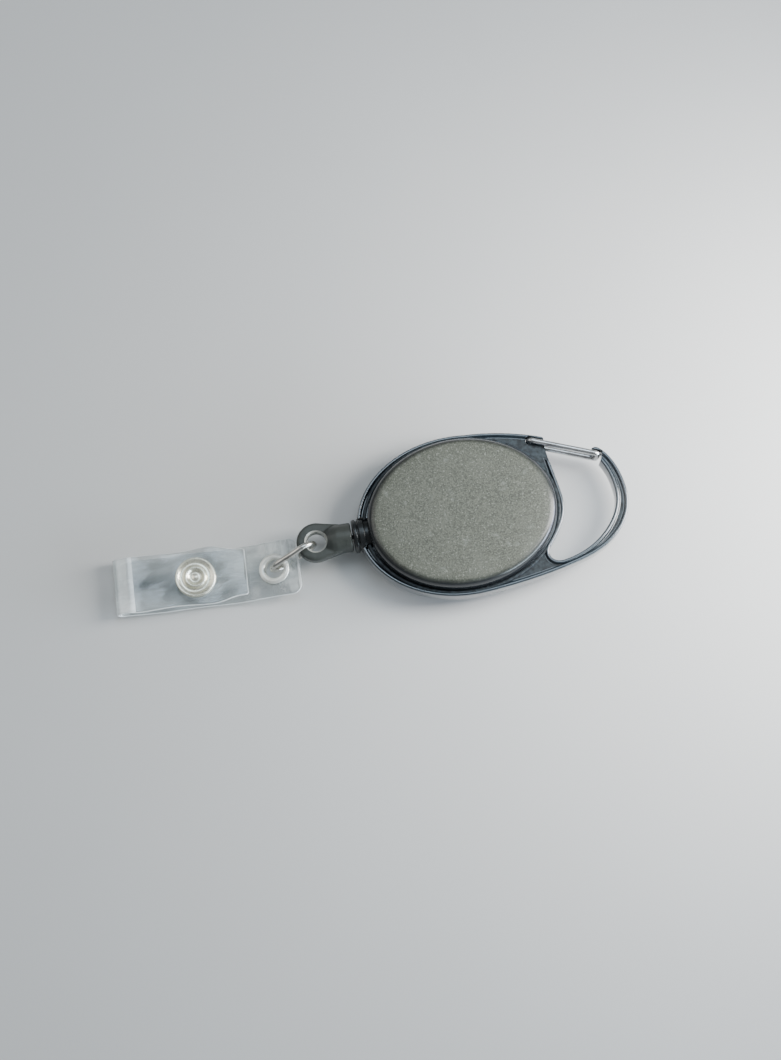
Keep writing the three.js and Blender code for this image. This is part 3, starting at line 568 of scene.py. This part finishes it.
def gate_tools():
    """The rooms that the gate's legs and closed end sweep, as prisms to cut away."""
    px, py = GATE_PIVOT
    dx, dy = GATE_TIP[0] - px, GATE_TIP[1] - py
    closed = math.atan2(dy, dx)
    clear = GATE_WIRE + 0.25
    opened = closed - GATE_SWEEP
    reach = math.hypot(dx, dy) + clear

    def fan(radius, start, end, steps=24):
        out = []
        for i in range(steps + 1):
            t = start + (end - start) * i / steps
            out.append((px + radius * math.cos(t), py + radius * math.sin(t)))
        return out

    def at(angle, along, aside):
        c, s = math.cos(angle), math.sin(angle)
        return (px + along * c - aside * s, py + along * s + aside * c)

    legs = [at(closed, reach, clear)] + fan(clear, closed + math.pi / 2, opened + 1.5 * math.pi)
    legs += [at(opened, reach, -clear)] + fan(reach, opened, closed)
    over = (GATE_WIRE + 0.15) / reach
    end = fan(reach, opened - over, closed + over)
    end += fan(reach - 2 * clear, closed + over, opened - over)
    below, above = -2, 12
    stub = GATE_WIRE + 0.12
    stub_hole = [(0, 0), (stub, 0), (stub, 9), (0, 9)]
    return [
        prism("cut", legs, [(0, GATE_WEB[1]), (0, above)], WEB),
        prism("cut", legs, [(0, below), (0, GATE_WEB[0])], WEB),
        prism("cut", end, [(0, below), (0, above)], GLOSS),
        lathe("cut", stub_hole, GLOSS, 24, matrix=at_place(px, py, 0)),
    ]


ALONG_X = Matrix.Rotation(math.pi / 2, 4, "Y")  # lays a profile turned about Z along X


def bushing_seat():
    """The room that the cord bushing clips into, as a solid to cut away."""
    gap = 0.2
    inner, outside = NECK_START + 0.8, -30
    profile = [
        (0, inner), (BUSHING_RIM + gap, inner), (BUSHING_RIM + gap, NECK_START),
        (NECK + gap, NECK_START), (NECK + gap, COLLAR_START), (COLLAR + gap, COLLAR_START),
        (COLLAR + gap, outside), (0, outside),
    ]
    return lathe("cut", profile, GLOSS, 48, matrix=at_place(0, 0, CORD_HEIGHT) @ ALONG_X)


def build_case():
    a = CAP[0]
    inner = a - WALL
    clear = a + 0.2  # leaves a narrow gap round the cover
    above = 12
    room = [(0, CUP_FLOOR), (inner, CUP_FLOOR), (inner, above), (0, above)]
    room = lathe("cut", room, GLOSS, 128, squash_y=OVAL)
    seat = [(0, SEAT), (clear, SEAT), (clear, above), (0, above)]
    seat = lathe("cut", seat, GLOSS, 128, squash_y=(CAP[1] + 0.2) / clear)
    body = prism("case", frame_outline(), beaded_profile(*FLANGE), GLOSS, ends=1)
    body.data.materials.append(WEB)
    cut(body, room, seat, *gate_tools(), bushing_seat())
    resmooth(body, 38)
    ring = lathe(
        "case_ring",
        [(20.22, 6.3), (20.22, 7.2), *arc(20.42, 7.15, 0.2, 180, 90, 4),
         *arc(20.66, 7.05, 0.3, 90, 0, 6), (20.98, 6.3)],
        WEB, 160, closed=True, squash_y=16.85 / 20.9,
    )
    cup = lathe(
        "case_cup",
        [(0.0, 0.0), (a - 2.2, 0.0), *arc(a - 1.2, 1.2, 1.2, -90, 0, 8), (a, 3.0), (a, SEAT - 0.1),
         (a - 0.1, SEAT), (inner + 0.1, SEAT), (inner, SEAT - 0.1), (inner, 2.0),
         (inner - 0.7, CUP_FLOOR), (0.0, CUP_FLOOR)],
        GLOSS, 160, squash_y=OVAL,
    )
    cut(ring, bushing_seat())
    cut(cup, bushing_seat())
    resmooth(ring, 38)
    resmooth(cup, 38)
    root = 1.1  # a little inside the cup's floor
    profile = [
        (0, root), (BOSS_RADIUS, root), (BOSS_RADIUS, 5.1), (BOSS_RADIUS - 0.1, 5.2), (1.2, 5.2),
        (1.1, 5.1), (1.1, 1.8), (0, 1.8),
    ]
    bosses = [lathe("case_boss", profile, GLOSS, 32, matrix=at_place(x, y, 0)) for x, y in BOSSES]
    profile = [
        (0, root), (SHOULDER, root), (SHOULDER, 2.6), (SHOULDER - 0.1, 2.7), (2.1, 2.7), (2.0, 2.8),
        (2.0, POST_TOP - 0.2), (1.8, POST_TOP), (0, POST_TOP),
    ]
    post = lathe("case_post", profile, GLOSS, 48)
    slot = [(-3, -0.4), (3, -0.4), (3, 0.4), (-3, 0.4)]  # holds the inner end of the spring
    slot_tool = prism("cut", slot, [(0, 3.9), (0, above)], GLOSS)
    cut(post, slot_tool)
    resmooth(post, 38)
    for piece in [body, ring, cup, post] + bosses:
        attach(piece, "housing")
    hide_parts("carabiner_case")


build_case()


def build_cover():
    a, top = CAP[0], TOTAL_HEIGHT
    roof = top - COVER_ROOF
    edge = 2.0
    foot = SEAT + 0.22
    # The face is crowned: it drops a little toward its edge.
    profile = [
        (0.0, roof), (a - WALL - 0.8, roof), (a - WALL, roof - 0.4), (a - WALL, foot),
        (a - 0.15, foot), (a, foot + 0.15), (a, 8.0),
        *arc(a - edge, top - edge - 0.22, edge, 0, 84, 14),
        (a - 3.2, top - 0.14), (a - 5.0, top - 0.08), (a - 8.0, top - 0.03), (a - 12.0, top - 0.005),
        (0.0, top),
    ]
    cover = lathe("cover", profile, COVER, 224, squash_y=OVAL)
    profile = [(17.6, 5.6), (17.7, 5.5), (18.2, 5.5), (18.3, 5.6), (18.3, 7.2), (17.6, 7.2)]
    lip = lathe("cover_lip", profile, COVER, 96, closed=True, squash_y=OVAL)
    cut(cover, bushing_seat())
    cut(lip, bushing_seat())
    resmooth(cover, 38)
    resmooth(lip, 38)
    pieces = [cover, lip]
    root = roof + 0.1  # a little inside the cover's skin
    profile = [
        (0, 2.2), (0.75, 2.2), (0.9, 2.4), (0.9, 5.5), (PEG_ROOT - 0.1, 5.5), (PEG_ROOT, 5.6),
        (PEG_ROOT, root), (0, root),
    ]
    for x, y in BOSSES:
        pieces.append(lathe("cover_peg", profile, COVER, 32, matrix=at_place(x, y, 0)))
    socket = [(2.2, 8.25), (2.3, 8.15), (3.5, 8.15), (3.6, 8.25), (3.6, root), (2.2, root)]
    pieces.append(lathe("cover_socket", socket, COVER, 48, closed=True))
    for piece in pieces:
        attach(piece, "housing")
    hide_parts("front_cover")


build_cover()


def build_bushing():
    rim, groove, bore = BUSHING_RIM, COLLAR - 0.45, 0.85
    start, end = NECK_START, MOUTH
    profile = [
        (2.6, start + 0.7), (rim - 0.1, start + 0.7), (rim, start + 0.6), (rim, start + 0.2),
        (rim - 0.1, start + 0.1), (NECK, start + 0.1), (NECK, COLLAR_START - 0.05),
        *arc(COLLAR - 0.25, COLLAR_START - 0.35, 0.25, 90, 0, 5), (COLLAR, COLLAR_START - 0.7),
        (COLLAR, end + 1.5), *arc(COLLAR - 0.2, end + 1.4, 0.2, 0, -80, 4),
        (groove, end + 1.15), (groove, end + 0.95),
        *arc(COLLAR - 0.2, end + 0.7, 0.15, 80, 0, 3), *arc(groove, end + 0.4, 0.4, 0, -90, 6),
        (2.2, end + 0.02), (1.4, end), *arc(1.35, end + 0.45, 0.45, -90, -170, 5),
        (bore, end + 1.2), (bore, end + 2.0), (2.5, end + 2.4),
    ]
    place = at_place(0, 0, CORD_HEIGHT) @ ALONG_X
    bushing = lathe("bushing", profile, BUSHING, 96, closed=True, matrix=place)
    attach(bushing, "housing")
    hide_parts("cord_bushing")


build_bushing()


def build_gate():
    z = CORD_HEIGHT
    stub = 0.35
    corners = [
        (*GATE_PIVOT, z + stub), (*GATE_PIVOT, z + GATE_SPREAD), (*GATE_TIP, z + GATE_SPREAD),
        (*GATE_TIP, z - GATE_SPREAD), (*GATE_PIVOT, z - GATE_SPREAD), (*GATE_PIVOT, z - stub),
    ]
    gate = tube("gate", rounded(corners, 0.85, 12), GATE_WIRE, STEEL, 24)
    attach(gate, "gate")
    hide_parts("gate_wire")


build_gate()


# ---- cord, end fitting and link --------------------------------------------
SAG = math.radians(-1.2)  # the end fitting hangs a little off the X axis, toward -Y
PULL_START = Vector((MOUTH, 0, CORD_HEIGHT))
PULL_AXIS = Vector((-math.cos(SAG), -math.sin(SAG), 0))
UP = Vector((0, 0, 1))


def frame_matrix(origin, x, y, z):
    """The matrix that takes local axes to x, y, z at origin, in mm."""
    m = Matrix((x, y, z)).transposed().to_4x4()
    return Matrix.Translation(Vector(origin) * MM) @ m


PULL = frame_matrix(PULL_START, PULL_AXIS, UP.cross(PULL_AXIS), UP)


def remeshed(obj, voxel, smooth, angle=60):
    """One skin over overlapping solids, with the joins softened."""
    m = obj.modifiers.new("remesh", "REMESH")
    m.mode, m.voxel_size = "VOXEL", voxel * MM
    m = obj.modifiers.new("smooth", "SMOOTH")
    m.factor, m.iterations = 0.5, smooth
    apply_modifiers(obj)
    resmooth(obj, angle)


def join(first, *others):
    bm = bmesh.new()
    for o in (first, *others):
        bm.from_mesh(o.data)
    bm.to_mesh(first.data)
    bm.free()
    for o in others:
        bpy.data.objects.remove(o)


def build_fitting():
    profile = [
        (0, 0.3), (2.5, 0.3), *arc(2.8, 0.6, 0.3, -90, 0, 5), (3.12, 2.6), (3.12, 3.6),
        (2.9, 4.6), (2.3, 5.8), (1.2, 6.9), (0, 6.9),
    ]
    barrel = lathe("fitting", profile, FITTING, 96, matrix=ALONG_X)
    half = EYE_HALF
    tangent = math.radians(106)  # the eye's round end meets its straight sides here
    lower = [(2.6, -3.02), (4.0, -3.32), (5.4, -3.62)]
    ring = []
    for i in range(49):
        t = -tangent + 2 * tangent * i / 48
        ring.append((EYE_AT + EYE_OUTER * math.cos(t), EYE_OUTER * math.sin(t)))
    outline = lower + ring + [(x, -y) for x, y in reversed(lower)]
    slab = [(0.5, -half), (0.2, -half + 0.1), (0.05, -half + 0.3), (0, -half + 0.55)]
    slab += [(i, -z) for i, z in reversed(slab)]
    eye = prism("eye", resample(outline, 0.25), slab, FITTING)
    join(barrel, eye)
    remeshed(barrel, 0.13, 14)
    flare = EYE_HOLE + 0.35
    profile = [
        (0, -6), (flare, -6), (flare, -half - 0.05), (EYE_HOLE, -half + 0.3),
        (EYE_HOLE, half - 0.3), (flare, half + 0.05), (flare, 6), (0, 6),
    ]
    # The hole's cut faces take the light grey of the painted highlight.
    hole = lathe("cut", profile, CHAMFER_HIGHLIGHT, 96, matrix=at_place(EYE_AT, 0, 0))
    # The cord comes in through the narrow part, and its knot sits in the wide one.
    profile = [
        (0, -1), (1.0, -1), (1.0, 0.45), (0.75, 0.7), (0.75, 2.6), (1.15, 3.0), (1.15, 5.2), (0, 5.2),
    ]
    bore = lathe("cut", profile, FITTING, 48, matrix=ALONG_X)
    barrel.data.materials.append(CHAMFER_HIGHLIGHT)
    cut(barrel, hole, bore)
    barrel.data.transform(PULL)
    resmooth(barrel, 42)
    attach(barrel, "fitting")
    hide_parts("end_fitting")


build_fitting()


def build_cord():
    """The free cord, from the spool to the knot in the fitting; it draws out straight."""
    start = 13.5  # radius of the winding, where the cord leaves it
    inside = -19.4  # X of the bend before the bushing
    angle = math.acos(start / -inside)
    leaves = Vector((-start * math.cos(angle), start * math.sin(angle), CORD_HEIGHT))
    end = PULL_START + PULL_AXIS * 3.3
    corners = [leaves, Vector((inside, 0, CORD_HEIGHT)), PULL_START + Vector((0.6, 0, 0))]
    bend = rounded(corners, 1.6, 10)
    path = [Vector(p) for p in resample(bend, 0.25, closed=False)]
    run = resample([path[-1], PULL_START, end], 0.06, closed=False)  # closer, where it stretches
    cord = tube("cord_run", path[:-1] + run, 0.44, NYLON, 14)
    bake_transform(cord)
    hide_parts("cord_lead", "cord_tip")


build_cord()

STRAP_TURN = math.radians(-3.8)
STRAP_X = Vector((math.cos(STRAP_TURN), math.sin(STRAP_TURN), 0))
STRAP_Y = Vector((-math.sin(STRAP_TURN), math.cos(STRAP_TURN), 0))
ON_STRAP = frame_matrix((-57.2, -1.96, 0), STRAP_X, STRAP_Y, UP)  # starts under the snap
TAIL_IN_STRAP = at_place(EYELET_X, 0, EYELET_Z) @ Matrix.Rotation(-RISE, 4, "Y")
ON_TAIL = ON_STRAP @ TAIL_IN_STRAP


def build_link():
    """A loop of wire whose two ends meet in the middle of one long side."""
    eye = PULL_START + PULL_AXIS * EYE_AT
    eyelet = (ON_STRAP @ (Vector((EYELET_X, 0, EYELET_Z)) * MM)) / MM
    heading = Vector((eyelet.x - eye.x, eyelet.y - eye.y, 0)).normalized()
    side = UP.cross(heading)
    axis = Matrix.Rotation(math.radians(20), 3, side) @ heading
    straight = LINK_LENGTH - LINK_HEIGHT
    radius = LINK_HEIGHT / 2 - LINK_RADIUS
    centre = eye + heading * (EYE_HOLE + 1.0) + axis * (straight / 2)
    half, seam = straight / 2, 0.15
    round_end = [math.pi * i / 28 for i in range(29)]
    path = [(-seam - (half - seam) * i / 8, -radius) for i in range(8)]
    path += [(-half - radius * math.sin(t), -radius * math.cos(t)) for t in round_end]
    path += [(-half + straight * i / 12, radius) for i in range(1, 12)]
    path += [(half + radius * math.sin(t), radius * math.cos(t)) for t in round_end]
    path += [(half - (half - seam) * i / 8, -radius) for i in range(1, 9)]
    points = [(x, 0.03 * math.sin(x * 1.1 + z), z) for x, z in path]
    # Thinner than the CAD's wire, for room in the strap's hole. It still grazes the hole's edge
    # when the strap tilts down as far as it goes.
    wire = LINK_RADIUS - 0.03
    place = frame_matrix(centre, axis, side, axis.cross(side))
    link = tube("link", points, wire, LINK_WIRE, 24, matrix=place)
    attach(link, "link")
    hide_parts("wire_link")


build_link()


# ---- vinyl strap -----------------------------------------------------------
def smooth_step(x, a, b):
    """0 before a, 1 after b, with an even change between."""
    t = min(1.0, max(0.0, (x - a) / (b - a)))
    return t * t * (3 - 2 * t)


def corner(x, end, radius):
    """How much a rounded corner takes off the half width at x."""
    t = x - (end - radius)
    return radius - math.sqrt(max(radius * radius - t * t, 0.0)) if t > 0 else 0.0


def strap_ripple(x, y):
    """The soft unevenness of a vinyl sheet that has been bent for long, in mm."""
    return 0.055 * math.sin(0.62 * x + 0.35 * y + 0.4) + 0.04 * math.sin(0.9 * y - 0.5 * x + 0.84)


def sheet(name, stations, face, bent=(), columns=44):
    """A closed sheet with rounded edges.

    stations: (centre, normal, half_left, half_right, ripple amount) along it. face: its material.
    bent: the numbers of the first and last stations, round the fold, whose faces are whitened as a
    painted highlight."""
    h = THICK / 2
    verts = []
    loop = 0
    for c, n, left, right, ripple in stations:
        across = [-right + (left + right) * j / columns for j in range(columns + 1)]
        row = [(y, h + strap_ripple(c.x, y) * ripple) for y in across]
        under = [(y, -h + strap_ripple(c.x, y) * ripple) for y in reversed(across)]
        right_edge = [(-right - 0.10, -h * 0.6), (-right - 0.14, 0.0), (-right - 0.10, h * 0.6)]
        left_edge = [(left + 0.10, h * 0.6), (left + 0.14, 0.0), (left + 0.10, -h * 0.6)]
        ring = row + left_edge + under + right_edge
        loop = len(ring)
        verts += [(c.x + n.x * z, y, c.z + n.z * z) for y, z in ring]
    faces = grid_faces(len(stations), loop, wrap_columns=True)
    count = len(stations)
    caps = [tuple(range(loop)), tuple((count - 1) * loop + k for k in range(loop))]
    marks = []
    for i in range(len(faces)):
        at, place = i // loop, i % loop
        # The side edges and the free end take the near-white of a painted highlight.
        edge = columns <= place < columns + 4 or place >= loop - 4 or at >= count - 5
        marks.append(1 if edge else 2 if bent and bent[0] <= at < bent[1] else 0)
    obj = make(name, verts, faces + caps, face, 50, marks=marks + [0, 1])
    obj.data.materials.append(VINYL_EDGE_HIGHLIGHT)
    obj.data.materials.append(VINYL_FOLD_HIGHLIGHT)
    return obj


def half_width(x, flap):
    """(left, right) half widths of the strap at x.

    The flap narrows to its free end and bulges by the snap."""
    base = WIDE / 2 - 0.14
    if flap:
        narrow = (WIDE - FLAP_END_W) / 2 * smooth_step(x, FLAP_END_X - 7.5, FLAP_END_X - 1.6)
        wave = 0.16 * math.sin((x + 15.7) * 0.42)
        bulge = 0.28 * math.exp(-(((x - 3.5) / 4.2) ** 2))
        off = corner(x, FLAP_END_X, 0.6)
        return base - narrow - off + bulge + wave * 0.6, base - narrow - off - 0.10 + wave
    off = corner(x, END_X, 2.0)
    wave = 0.12 * math.sin((x + 3.0) * 0.38)
    return base - off + wave, base - off - wave * 0.6


def strap_end_stations(start, stop, radius, flap, at):
    """Stations from start to the free end at stop, closer together round its corners."""
    xs = [start + (stop - radius - start) * i / 40 for i in range(40)]
    xs += [stop - radius + radius * math.sin(math.pi / 2 * i / 10) for i in range(11)]
    out = []
    for x in xs:
        c, n = at(x)
        left, right = half_width(min(x, stop - 0.02), flap)
        if flap:
            calm = smooth_step(x, stop - 0.6, stop)
        else:
            calm = smooth_step(x, EYELET_X - 4.0, EYELET_X - 1.0)
        out.append((c, n, left, right, smooth_step(x, start, start + 3) * (1 - calm)))
    return out


def tail_at(x):
    """Centre and normal of the raised tail at x; the bend up from the flat is rounded."""
    bend = EYELET_X + (LOW_Z - EYELET_Z) / math.tan(RISE)
    slope = math.tan(RISE)
    soft = 3.0
    t = (x - bend) / soft
    if t <= -1:
        z, dz = LOW_Z, 0.0
    elif t >= 1:
        z, dz = LOW_Z + (x - bend) * slope, slope
    else:
        z, dz = LOW_Z + slope * soft * (t + 1) ** 2 / 4, slope * (t + 1) / 2
    n = Vector((-dz, 0, 1)).normalized()
    return Vector((x, 0, z)), n


def flap_at(x):
    """Centre and normal of the flap at x: it humps a little beside the fold."""
    def height(u):
        hump = 0.34 * math.exp(-(((u - FOLD_X - 1.7) / 1.1) ** 2))
        return FLAP_Z + hump * smooth_step(u, FOLD_X, FOLD_X + 0.8)

    dz = (height(x + 0.05) - height(x - 0.05)) / 0.1
    return Vector((x, 0, height(x))), Vector((dz, 0, -1)).normalized()


def drop_faces(obj, test):
    bm = bmesh.new()
    bm.from_mesh(obj.data)
    bmesh.ops.delete(bm, geom=[f for f in bm.faces if test(f)], context="FACES_ONLY")
    bm.to_mesh(obj.data)
    bm.free()


def at_seam(face):
    """Whether the face is an end cap where the main sheet and the tail meet."""
    return abs(face.normal.x) > 0.95 and abs(face.calc_center_median().x - SEAM_X * MM) < 0.05 * MM


def hole_tool(radius, low, high, matrix=None):
    return lathe("cut", [(0, low), (radius, low), (radius, high), (0, high)], VINYL, 64, matrix=matrix)


def build_strap():
    left, right = half_width(SEAM_X, False)
    tail_stations = [(*tail_at(SEAM_X), left, right, 0.0)]
    tail_stations += strap_end_stations(SEAM_X + 0.2, END_X, 2.0, False, tail_at)
    tail = sheet("strap_end", tail_stations, VINYL_TAIL)
    cut(tail, hole_tool(EYELET_HOLE + 0.5, -4, 4, TAIL_IN_STRAP))
    drop_faces(tail, at_seam)

    stations = []
    for i in range(45):
        x = SEAM_X + (FOLD_X - SEAM_X) * i / 44
        left, right = half_width(x, False)
        ease = smooth_step(x, FOLD_X, FOLD_X + 3) * (1 - smooth_step(x, SEAM_X - 3, SEAM_X - 0.2))
        stations.append((Vector((x, 0, LOW_Z)), UP.copy(), left, right, ease))
    low, high = half_width(FOLD_X, False), half_width(FOLD_X, True)
    for i in range(1, 24):
        t = math.pi * i / 24
        c = Vector((FOLD_X - FOLD_R * math.sin(t) * 0.96, 0, LOW_Z + FOLD_R - FOLD_R * math.cos(t)))
        n = Vector((math.sin(t), 0, math.cos(t)))
        left, right = (a + (b - a) * i / 24 for a, b in zip(low, high))
        stations.append((c, n, left, right, 0.0))
    flap = strap_end_stations(FOLD_X, FLAP_END_X, 0.6, True, flap_at)
    # The stations round the fold take the painted highlight.
    main = sheet("strap_main", stations + flap, VINYL, bent=(42, 72))
    cut(main, hole_tool(SNAP_HOLE, -1, 6))
    drop_faces(main, at_seam)
    for piece in (tail, main):
        resmooth(piece, 50)
        piece.data.transform(ON_STRAP)
    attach(tail, "strap")
    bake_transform(main)
    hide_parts("strap_tail", "strap_fold", "strap_flap")


build_strap()


# ---- eyelet and snap -------------------------------------------------------
def metal_piece(name, profile, body, node, matrix, closed=True, material=None):
    piece = lathe(name, profile, material or NICKEL, 128, closed=closed, matrix=matrix)
    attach(piece, body)
    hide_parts(node)


def build_eyelet():
    """The eyelet is rolled over on the front; on the back it is set in a washer."""
    hole, flange = EYELET_HOLE, EYELET_FLANGE
    profile = [
        (hole, -0.75), *arc(2.42, -0.78, 0.28, -120, 0, 6), (2.72, -0.68), (2.4, -0.64),
        (2.38, 0.27), (flange - 0.35, 0.28), *arc(flange - 0.25, 0.55, 0.25, -80, 70, 8),
        *arc(2.62, 0.30, 0.62, 60, 165, 10), (hole, 0.1),
    ]
    metal_piece("eyelet", profile, "strap", "grommet_eyelet", ON_TAIL)
    profile = [
        (2.42, -0.62), (3.2, -0.62), *arc(3.25, -0.47, 0.15, -90, 0, 4),
        (3.4, -0.3), (3.35, -0.27), (2.42, -0.27),
    ]
    metal_piece("eyelet_washer", profile, "strap", "grommet_washer", ON_TAIL)


def build_snap():
    """Post and stud on the strap; socket, cap and the socket's split ring on the flap."""
    low_top = LOW_Z + THICK / 2
    flap_low, flap_top = FLAP_Z - THICK / 2, FLAP_Z + THICK / 2
    r = SNAP_RADIUS
    post = [
        (0, 0.06), (1.2, 0.05), (1.6, 0.0), *arc(3.3, 0.3, 0.3, -90, 90, 8),
        (1.2, 0.59), (1.1, 0.7), (1.1, 1.9), (1.0, 2.0), (0, 2.0),
    ]
    metal_piece("post", post, "strap", "snap_post", ON_STRAP, closed=False)
    stud = [
        (1.2, low_top + 0.02), (3.8, low_top + 0.02), (3.9, low_top + 0.1), (3.88, low_top + 0.26),
        (3.5, low_top + 0.36), (2.9, low_top + 0.3), (1.85, low_top + 0.42), (1.62, 1.75),
        (1.58, 2.0), *arc(1.5, 2.4, 0.4, -60, 80, 8), (1.3, 2.78), (1.2, 2.7),
    ]
    metal_piece("stud", stud, "strap", "snap_stud", ON_STRAP)
    socket = [
        (2.2, 1.78), (2.3, 1.72), (2.9, 1.72), *arc(3.0, 1.97, 0.25, -80, 0, 4), (3.28, 2.5),
        (3.4, 2.65), (r - 0.1, 2.78), (r, 2.9), (r, flap_low - 0.1), (r - 0.1, flap_low - 0.02),
        (1.2, flap_low - 0.02), (1.2, 3.0), (2.3, 2.95), (2.3, 2.6), (2.72, 2.5), (2.72, 2.1),
        (2.2, 2.0),
    ]
    metal_piece("socket", socket, "flap", "snap_socket", ON_STRAP)
    z = flap_top
    cap = [
        (0, 2.95), (1.1, 2.95), (1.1, z + 0.02), (r - 0.5, z + 0.02),
        *arc(r - 0.3, z + 0.33, 0.3, -70, 110, 12), (3.62, z + 0.52), (3.35, z + 0.34),
        (3.1, z + 0.27), (2.75, z + 0.27), (2.5, z + 0.36), (2.34, z + 0.6),
        *arc(1.98, z + 0.62, 0.33, 20, 155, 10), (1.5, z + 0.62), (1.3, z + 0.42),
        (1.1, z + 0.33), (0.8, z + 0.34), (0.5, z + 0.46), (0.25, z + 0.54), (0, z + 0.56),
    ]
    metal_piece("cap", cap, "flap", "snap_cap", ON_STRAP, closed=False, material=CAP_NICKEL)
    turns = [math.radians(15 + 330 * i / 60) for i in range(61)]  # a ring with a slit
    path = [(2.38 * math.cos(t), 2.38 * math.sin(t), 2.3) for t in turns]
    ring = tube("snap_ring", path, 0.15, STEEL, 12, matrix=ON_STRAP)
    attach(ring, "flap")
    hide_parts("snap_spring")


build_eyelet()
build_snap()


# ---- pieces carried over from the CAD --------------------------------------
CARRIED = {
    "spool": (WHITE, "spool_plastic"),
    "power_spring": (STEEL, "spring_steel"),
    "spring_cover_disc": (STEEL, "spring_steel"),
    "cord_winding": (NYLON, "cord"),
    "cord_anchor_knot": (NYLON, "cord"),
    "cord_end_knot": (NYLON, "cord"),
}
for node_name, (material, slot_name) in CARRIED.items():
    node = NODES[node_name]
    node.data.materials.clear()
    node.data.materials.append(material)

# ---- camera, light and floor -----------------------------------------------
TILT = math.radians(15.0)  # of the camera from straight above, toward the picture's foot
CLIMB = math.radians(10.9)  # the case's long axis climbs to the right by this much
LENS = 61.2
CAMERA_AT = Vector((-0.03377, -0.09620, 0.37105))


def add_camera():
    """Places the camera; gives back the directions to the picture's right and up, on the floor."""
    data = bpy.data.cameras.new("camera")
    data.lens, data.sensor_width, data.sensor_fit = LENS, 36.0, "AUTO"
    data.clip_start, data.clip_end = 0.01, 10.0
    cam = bpy.data.objects.new("camera", data)
    bpy.context.collection.objects.link(cam)
    right = Vector((math.cos(CLIMB), -math.sin(CLIMB), 0))
    floor_up = Vector((math.sin(CLIMB), math.cos(CLIMB), 0))
    forward = floor_up * math.sin(TILT) - Vector((0, 0, 1)) * math.cos(TILT)
    up = right.cross(forward)
    basis = Matrix((right, up, -forward)).transposed().to_4x4()
    cam.matrix_world = Matrix.Translation(CAMERA_AT) @ basis
    bpy.context.scene.camera = cam
    return right, floor_up


right, floor_up = add_camera()


def area_light(name, place, size, power, colour):
    """A soft box; place is (right, up the picture, height) in metres, aimed at the reel."""
    data = bpy.data.lights.new(name, "AREA")
    data.shape, data.size, data.size_y = "RECTANGLE", size[0], size[1]
    data.energy, data.color = power, colour
    light = bpy.data.objects.new(name, data)
    bpy.context.collection.objects.link(light)
    light.location = right * place[0] + floor_up * place[1] + Vector((0, 0, place[2]))
    aim = Vector((-0.01, 0, 0)) - light.location
    light.rotation_euler = aim.to_track_quat("-Z", "Y").to_euler()


area_light("key", (0.125, 0.02, 0.09), (0.07, 0.14), 0.62, (1.0, 1.0, 0.98))
area_light("top", (0.05, 0.22, 0.62), (0.35, 0.35), 1.3, (0.72, 0.87, 1.0))
area_light("low", (0.42, -0.25, 0.10), (0.45, 0.12), 2.6, (0.74, 0.90, 1.0))
area_light("rim", (0.42, -0.02, 0.06), (0.30, 0.07), 1.7, (0.66, 0.72, 1.0))
area_light("fill", (-0.45, 0.10, 0.40), (0.4, 0.4), 0.75, (1.0, 0.98, 0.95))

world = bpy.data.worlds.new("studio")
bpy.context.scene.world = world
world.use_nodes = True
background = world.node_tree.nodes["Background"]
background.inputs["Color"].default_value = (0.80, 0.84, 0.88, 1)
background.inputs["Strength"].default_value = 0.27


def add_floor():
    m = Nodes("pale_floor", Roughness=0.75)
    m.to(m.mix(m.noise(60.0, 3.0), (0.60, 0.60, 0.59), (0.64, 0.64, 0.63)), "Base Color")
    m.bump(m.noise(0.8, 3.0), 0.1, 0.05)
    reach = 3000
    corners = [(-reach, -reach, 0), (reach, -reach, 0), (reach, reach, 0), (-reach, reach, 0)]
    floor = make("floor", corners, [(0, 1, 2, 3)], m.material)
    floor.location.z = -0.05 * MM  # just clear of the case's back


add_floor()
